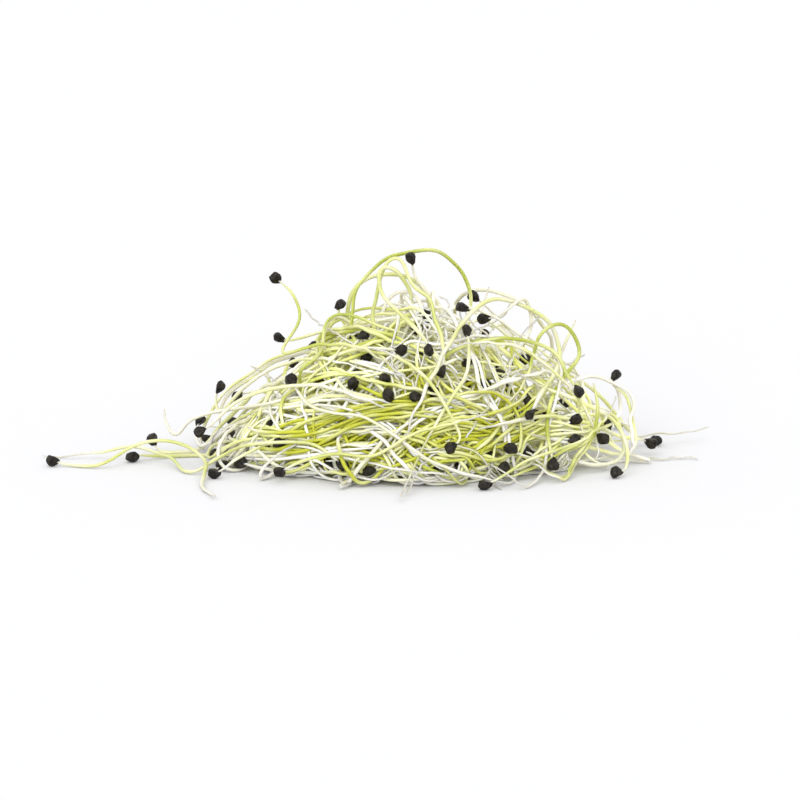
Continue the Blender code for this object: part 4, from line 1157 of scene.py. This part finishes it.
def strand_tones(rng, names, found, fine, along):
    """How green each ring is, and how lemon yellow its green. Sprouts read off the photo have their own
    tone."""
    places, count = place_tones(fine), len(fine)
    own_tone = np.clip(rng.normal(1.0, TONE_SPREAD, count), *TONE_LIMITS)
    own_tone[rng.random_sample(count) < WHITE_SHARE] = WHITE_TONE
    tone = places * own_tone[:, None]
    mottling = 1.0 + MOTTLING * ripple(rng, along, 1.2, 5)
    lemon = np.clip(0.25 + 0.9 * places + rng.uniform(-0.3, 0.3, (count, 1)), 0.0, 1.0)
    for k, name in enumerate(names):
        if name in ROUTE_TONES:
            tone[k] = ROUTE_TONES[name]
            lemon[k] *= 0.3
    for k, strand in enumerate(found, len(names)):
        if strand.tone is not None:
            tone[k] = strand.tone
    return tone * mottling, lemon


def strand_radii(rng, names, found, fine, along, part):
    """Each ring's radius: slimmer by the husk and along the root, and in the heap's airy part."""
    own, count = len(names), len(fine)
    widest = np.array([FINE_STEM] * own + [strand.radius for strand in found])
    is_own = np.arange(count) < own
    widest = widest * np.where(is_own, rng.uniform(*OWN_WIDTHS, count), rng.uniform(*FURTHER_WIDTHS, count))
    airy = np.array([openness(line[len(line) // 2]) for line in fine])
    widest = (widest * (1.0 - 0.1 * airy * ~is_own))[:, None]
    radii = FINE_NECK + (widest - FINE_NECK) * smooth_step(along, 0.0, NECK_TAPER)
    root_from = rng.uniform(*ROOT_STARTS, count)[:, None]
    root_from[[k for k, name in enumerate(names) if name.endswith("root")]] = LONG_ROOT_START
    radii = radii + (FINE_ROOT - radii) * smooth_step(part, root_from, root_from + ROOT_TAPER)
    radii = radii * (1.0 + SWELLING * ripple(rng, along, 3, 7))
    radii[:, 0] *= 0.6
    radii[:, -1] *= 0.5
    return radii


def with_inputs(node, values):
    for name, value in values.items():
        node.inputs[name].default_value = value
    return node


def new_material(name, values):
    """A material with those values on its shader, and its node tree and shader."""
    made = bpy.data.materials.new(name)
    made.use_nodes = True
    tree = made.node_tree
    return made, tree, with_inputs(tree.nodes["Principled BSDF"], values)


def new_node(tree, kind, values=None):
    return with_inputs(tree.nodes.new("ShaderNode" + kind), values or {})


def add_bump(tree, height, shader, strength, distance):
    bump = new_node(tree, "Bump", {"Strength": strength, "Distance": distance})
    tree.links.new(height, bump.inputs["Height"])
    tree.links.new(bump.outputs["Normal"], shader.inputs["Normal"])


def stem_material(name):
    """Moist plant stem: the colour comes from the sprout's own, with painted light inside the heap, and
    fine streaks along it.
    """
    made, tree, shader = new_material(name, {
        "Roughness": 0.42, "IOR": 1.4, "Subsurface Weight": 1.0, "Subsurface Radius": (1.0, 0.95, 0.6),
        "Subsurface Scale": 0.0012,
    })
    # The tint holds each sprout's own colour and the painted light inside the heap
    tint = new_node(tree, "Attribute")
    tint.attribute_name = "tint"
    fibre = new_node(tree, "Attribute")
    fibre.attribute_name = "fibre"
    streaks = new_node(tree, "TexNoise", {"Scale": 2.2, "Detail": 3.0})
    tree.links.new(fibre.outputs["Vector"], streaks.inputs["Vector"])
    shade = new_node(tree, "MapRange", {"From Min": 0.3, "From Max": 0.7, "To Min": 0.9, "To Max": 1.06})
    tree.links.new(streaks.outputs["Fac"], shade.inputs["Value"])
    colour = new_node(tree, "VectorMath")
    colour.operation = "SCALE"
    tree.links.new(tint.outputs["Color"], colour.inputs[0])
    tree.links.new(shade.outputs["Result"], colour.inputs["Scale"])
    tree.links.new(colour.outputs["Vector"], shader.inputs["Base Color"])
    add_bump(tree, streaks.outputs["Fac"], shader, 0.25, 0.0001)
    return made


def husk_material(name):
    """Dry black seed coat, with fine wrinkles that catch the light."""
    made, tree, shader = new_material(name, {"Roughness": 0.45, "Specular IOR Level": 0.2})
    place = new_node(tree, "TexCoord")
    wrinkles = new_node(tree, "TexVoronoi", {"Scale": 2600.0})
    grain = new_node(tree, "TexNoise", {"Scale": 1300.0, "Detail": 4.0})
    tree.links.new(place.outputs["Object"], wrinkles.inputs["Vector"])
    tree.links.new(place.outputs["Object"], grain.inputs["Vector"])
    shades = new_node(tree, "ValToRGB")
    for element, position, colour in zip(shades.color_ramp.elements, (0.38, 0.75), (HUSK_DARK, HUSK_LIGHT)):
        element.position = position
        element.color = colour
    tree.links.new(grain.outputs["Fac"], shades.inputs["Fac"])
    tree.links.new(shades.outputs["Color"], shader.inputs["Base Color"])
    add_bump(tree, wrinkles.outputs["Distance"], shader, 0.8, 0.00015)
    return made


def new_object(name, data):
    obj = bpy.data.objects.new(name, data)
    bpy.context.scene.collection.objects.link(obj)
    return obj


def point_along(obj, way):
    """Turns a lamp or a camera so that it looks that way, with Z up."""
    obj.rotation_mode = "QUATERNION"
    obj.rotation_quaternion = way.to_track_quat("-Z", "Y")


def shown_mesh(name, points, faces, material):
    mesh = bpy.data.meshes.new(name)
    mesh.from_pydata((points * MM).tolist(), [], faces)
    mesh.polygons.foreach_set("use_smooth", [True] * len(mesh.polygons))
    mesh.materials.append(material)
    return new_object(name, mesh)


def stems(name, strands, which, sides_round, material):
    """One object with a fine tube for each of those strands."""
    centres, radii, flats, turns, colours, along, offsets = (strands[key][which] for key in (
        "centres", "radii", "flats", "turns", "colours", "along", "offsets"))
    count, rings, _ = centres.shape
    points, around = fine_tubes(centres, radii, flats, turns, sides_round)
    ends = np.stack([centres[:, 0] - 0.25 * (centres[:, 1] - centres[:, 0]),
                     centres[:, -1] + 0.25 * (centres[:, -1] - centres[:, -2])], 1)
    every = np.concatenate([points.reshape(count, -1, 3), ends], 1).reshape(-1, 3)
    obj = shown_mesh(name, every, tube_faces(count, rings, sides_round), material)
    tint = np.ones((count, rings * sides_round + 2, 4))
    tint[:, :-2, :3] = np.repeat(colours, sides_round, 1)
    tint[:, -2:, :3] = colours[:, [0, -1]]
    obj.data.color_attributes.new("tint", "FLOAT_COLOR", "POINT").data.foreach_set("color", tint.ravel())
    fibre = np.zeros((count, rings * sides_round + 2, 3))
    fibre[:, :-2, 0] = np.cos(around).reshape(count, -1)
    fibre[:, :-2, 1] = np.sin(around).reshape(count, -1)
    fibre[:, :-2, 2] = np.repeat(along * STREAKS_ALONG, sides_round, 1)
    fibre += offsets[:, None, None]
    obj.data.attributes.new("fibre", "FLOAT_VECTOR", "POINT").data.foreach_set("vector", fibre.ravel())
    return obj


def husk_ball():
    """A ball's points, as an array, and its faces."""
    shape = bmesh.new()
    bmesh.ops.create_icosphere(shape, subdivisions=HUSK_BALL, radius=1.0)
    ball = np.array([v.co for v in shape.verts])
    faces = [[v.index for v in f.verts] for f in shape.faces]
    shape.free()
    return ball, faces


def wrinkled(ball, shift):
    """How far the seed coat's folds and wrinkles stand out at each point."""
    found = []
    for p in ball:
        p = Vector(p)
        found.append(0.06 * noise.noise(p * 2.2 + shift) - 0.07 * abs(noise.noise(p * 4.5 + shift))
                     + 0.02 * noise.noise(p * 12.0 + shift))
    return np.array(found)


def husk_shape(rng, ball):
    """A seed husk made from a ball of radius 1: a wedge with three flat sides, four smaller ones, and a
    bite at its neck, at -Z."""
    first, planes = rng.uniform(0.0, 2 * math.pi), []
    for side in range(3):
        around = first + (side + rng.uniform(-0.15, 0.15)) * 2 * math.pi / 3
        way = (math.cos(around), math.sin(around), rng.uniform(-0.5, 0.05))
        planes.append((way, rng.uniform(0.64, 0.8)))
    planes.append(((rng.uniform(-0.3, 0.3), rng.uniform(-0.3, 0.3), 1.0), rng.uniform(0.84, 0.95)))
    for plane in range(4):
        planes.append(((rng.gauss(0, 1), rng.gauss(0, 1), rng.gauss(0, 1)), rng.uniform(0.86, 1.0)))
    reach = np.full(len(ball), 1.12**-HUSK_SHARPNESS)
    for way, height in planes:
        reach += (np.maximum(ball @ unit(np.array(way)), 0.0) / height) ** HUSK_SHARPNESS
    radius = reach ** (-1.0 / HUSK_SHARPNESS)
    shift = Vector((rng.uniform(0, 50), rng.uniform(0, 50), rng.uniform(0, 50)))
    bite_way = unit(np.array([0.5 * math.cos(first), 0.5 * math.sin(first), -1.0]))
    bite = smooth_step(ball @ bite_way, 0.84, 0.97)
    radius = (radius + wrinkled(ball, shift)) * (1.0 - 0.3 * bite)
    points = ball * radius[:, None]
    points[:, :2] *= (1.0 - 0.4 * np.clip(-points[:, 2], 0.0, 1.0))[:, None]
    return points


def husks(name, strands, which, shapes, faces, material):
    """One object with the husk of each of those strands."""
    points, every = [], []
    for k in which:
        turn = np.array(Vector(strands["husk_ways"][k]).to_track_quat("Z", "X").to_matrix())
        c, s = math.cos(strands["rolls"][k]), math.sin(strands["rolls"][k])
        spin = np.array([[c, -s, 0.0], [s, c, 0.0], [0.0, 0.0, 1.0]])
        size = np.array(HUSK_SIZE) * strands["sizes"][k]
        every += [[v + len(points) * len(shapes[k]) for v in face] for face in faces]
        husk = (shapes[k] * size) @ (turn @ spin).T + strands["husk_middles"][k]
        husk[:, 2] = np.maximum(husk[:, 2], FLOOR_CLEAR)
        points.append(husk)
    return shown_mesh(name, np.vstack(points), every, material)


def whole_heap():
    """The solids' names, each strand's piece, with nothing for those that have their own, and arrays about
    the strands. The solids' strands come first."""
    names, lines, husked, fused = all_strands()
    radii = np.repeat(np.linspace(STEM_RADIUS, ROOT_RADIUS, STRAND_POINTS - 1)[None, :], len(names), 0)
    radii[husked, 0] = HUSK_ROOM
    points = bend_clear(lines, radii, fused)
    slim = np.full_like(radii, FINE_STEM)
    slim[husked, 0] = HUSK_ROOM
    found = further_strands()
    points = np.vstack([points, bent_into_place(points, slim, found)])
    husked = np.array([*husked, *(strand.husked for strand in found)])
    count = len(points)
    rng = np.random.RandomState(FURTHER_SEED)
    fine = middle_lines(points, husked, rng)
    steps = fine[:, 1:] - fine[:, :-1]
    along = np.concatenate([np.zeros((count, 1)), np.cumsum(np.sqrt(dot(steps, steps)), 1)], 1)
    part = along / along[:, -1:]
    tone, lemon = strand_tones(rng, names, found, fine, along)
    radii = strand_radii(rng, names, found, fine, along, part)
    fine[..., 2] = np.maximum(fine[..., 2], radii + FLOOR_CLEAR)
    strands = {
        "husked": husked, "centres": fine, "radii": radii, "along": along,
        # Own colours, with painted light on the rings inside the heap
        "colours": tints(part, tone, lemon, tucked_level(fine), radii),
        "husk_middles": 0.5 * (points[:, 0] + points[:, 1]),
        "husk_ways": units(points[:, 0] - points[:, 1]) + rng.uniform(-0.25, 0.25, (count, 3)),
        "flats": np.repeat(rng.uniform(0.75, 1.0, count)[:, None], fine.shape[1], 1),
        "turns": along * rng.uniform(-0.06, 0.06, count)[:, None],
        "offsets": rng.uniform(0, 60, count),
        "rolls": rng.uniform(0, 2 * math.pi, count),
        "sizes": rng.uniform(0.95, 1.07, count),
    }
    pieces = ["tangle_stems" if is_fused else "" for is_fused in fused] + [strand.piece for strand in found]
    return names, pieces, strands


def main():
    names, pieces, strands = whole_heap()
    stem = stem_material("moist_stem")
    coat = husk_material("seed_coat")
    own = [k for k, piece in enumerate(pieces) if not piece]
    ball, faces = husk_ball()
    rng = random.Random(FURTHER_SEED)
    shapes = {k: husk_shape(rng, ball) for k in np.flatnonzero(strands["husked"])}

    def dress(obj, node):
        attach(obj, "root")
        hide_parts(node)

    for k in own:
        name = names[k]
        dress(stems(name + "_stem", strands, [k], TUBE_SIDES, stem), "sprout_" + name)
        dress(husks(name + "_husk", strands, [k], shapes, faces, coat), "husk_" + name)
    for piece in sorted(set(pieces) - {""}):
        which = [k for k, other in enumerate(pieces) if other == piece]
        coarse = piece in ("inner_stems", "laid_stems", "airy_curls")
        sides_round = INNER_SIDES if coarse else TUBE_SIDES
        dress(stems(piece, strands, which, sides_round, stem), "tangle")
    others = [k for k in shapes if k not in own]
    dress(husks("tangle_husks", strands, others, shapes, faces, coat), "tangle")
    floor_and_light()
    camera()


def floor_and_light():
    reach = 4.0
    corners = [(-reach, -reach, 0), (reach, -reach, 0), (reach, reach, 0), (-reach, reach, 0)]
    mesh = bpy.data.meshes.new("floor")
    mesh.from_pydata(corners, [], [(0, 1, 2, 3)])
    paint = {"Base Color": FLOOR_WHITE, "Roughness": 0.8, "Specular IOR Level": 0.0}
    mesh.materials.append(new_material("white_floor", paint)[0])
    new_object("floor", mesh)
    world = bpy.data.worlds.new("white_room")
    world.use_nodes = True
    light = {"Color": (1.0, 1.0, 1.0, 1.0), "Strength": ROOM_LIGHT}
    with_inputs(world.node_tree.nodes["Background"], light)
    bpy.context.scene.world = world
    lamp = bpy.data.lights.new("soft_window", "SUN")
    lamp.angle = WINDOW_ANGLE
    lamp.energy = WINDOW_LIGHT
    point_along(new_object("soft_window", lamp), WINDOW_WAY)
    bpy.context.scene.view_settings.view_transform = "Standard"


def camera():
    lens = bpy.data.cameras.new("camera")
    lens.sensor_width = SENSOR
    lens.lens = SENSOR * CAMERA_AWAY / VIEW_WIDTH
    lens.clip_start, lens.clip_end = 0.05, 20.0
    aim = Vector((AIM_ACROSS, 0.0, AIM_UP / math.cos(LOOK_DOWN))) * MM
    back = Vector((0.0, -math.cos(LOOK_DOWN), math.sin(LOOK_DOWN)))
    obj = new_object("camera", lens)
    obj.location = aim + back * CAMERA_AWAY * MM
    point_along(obj, -back)
    bpy.context.scene.camera = obj


main()
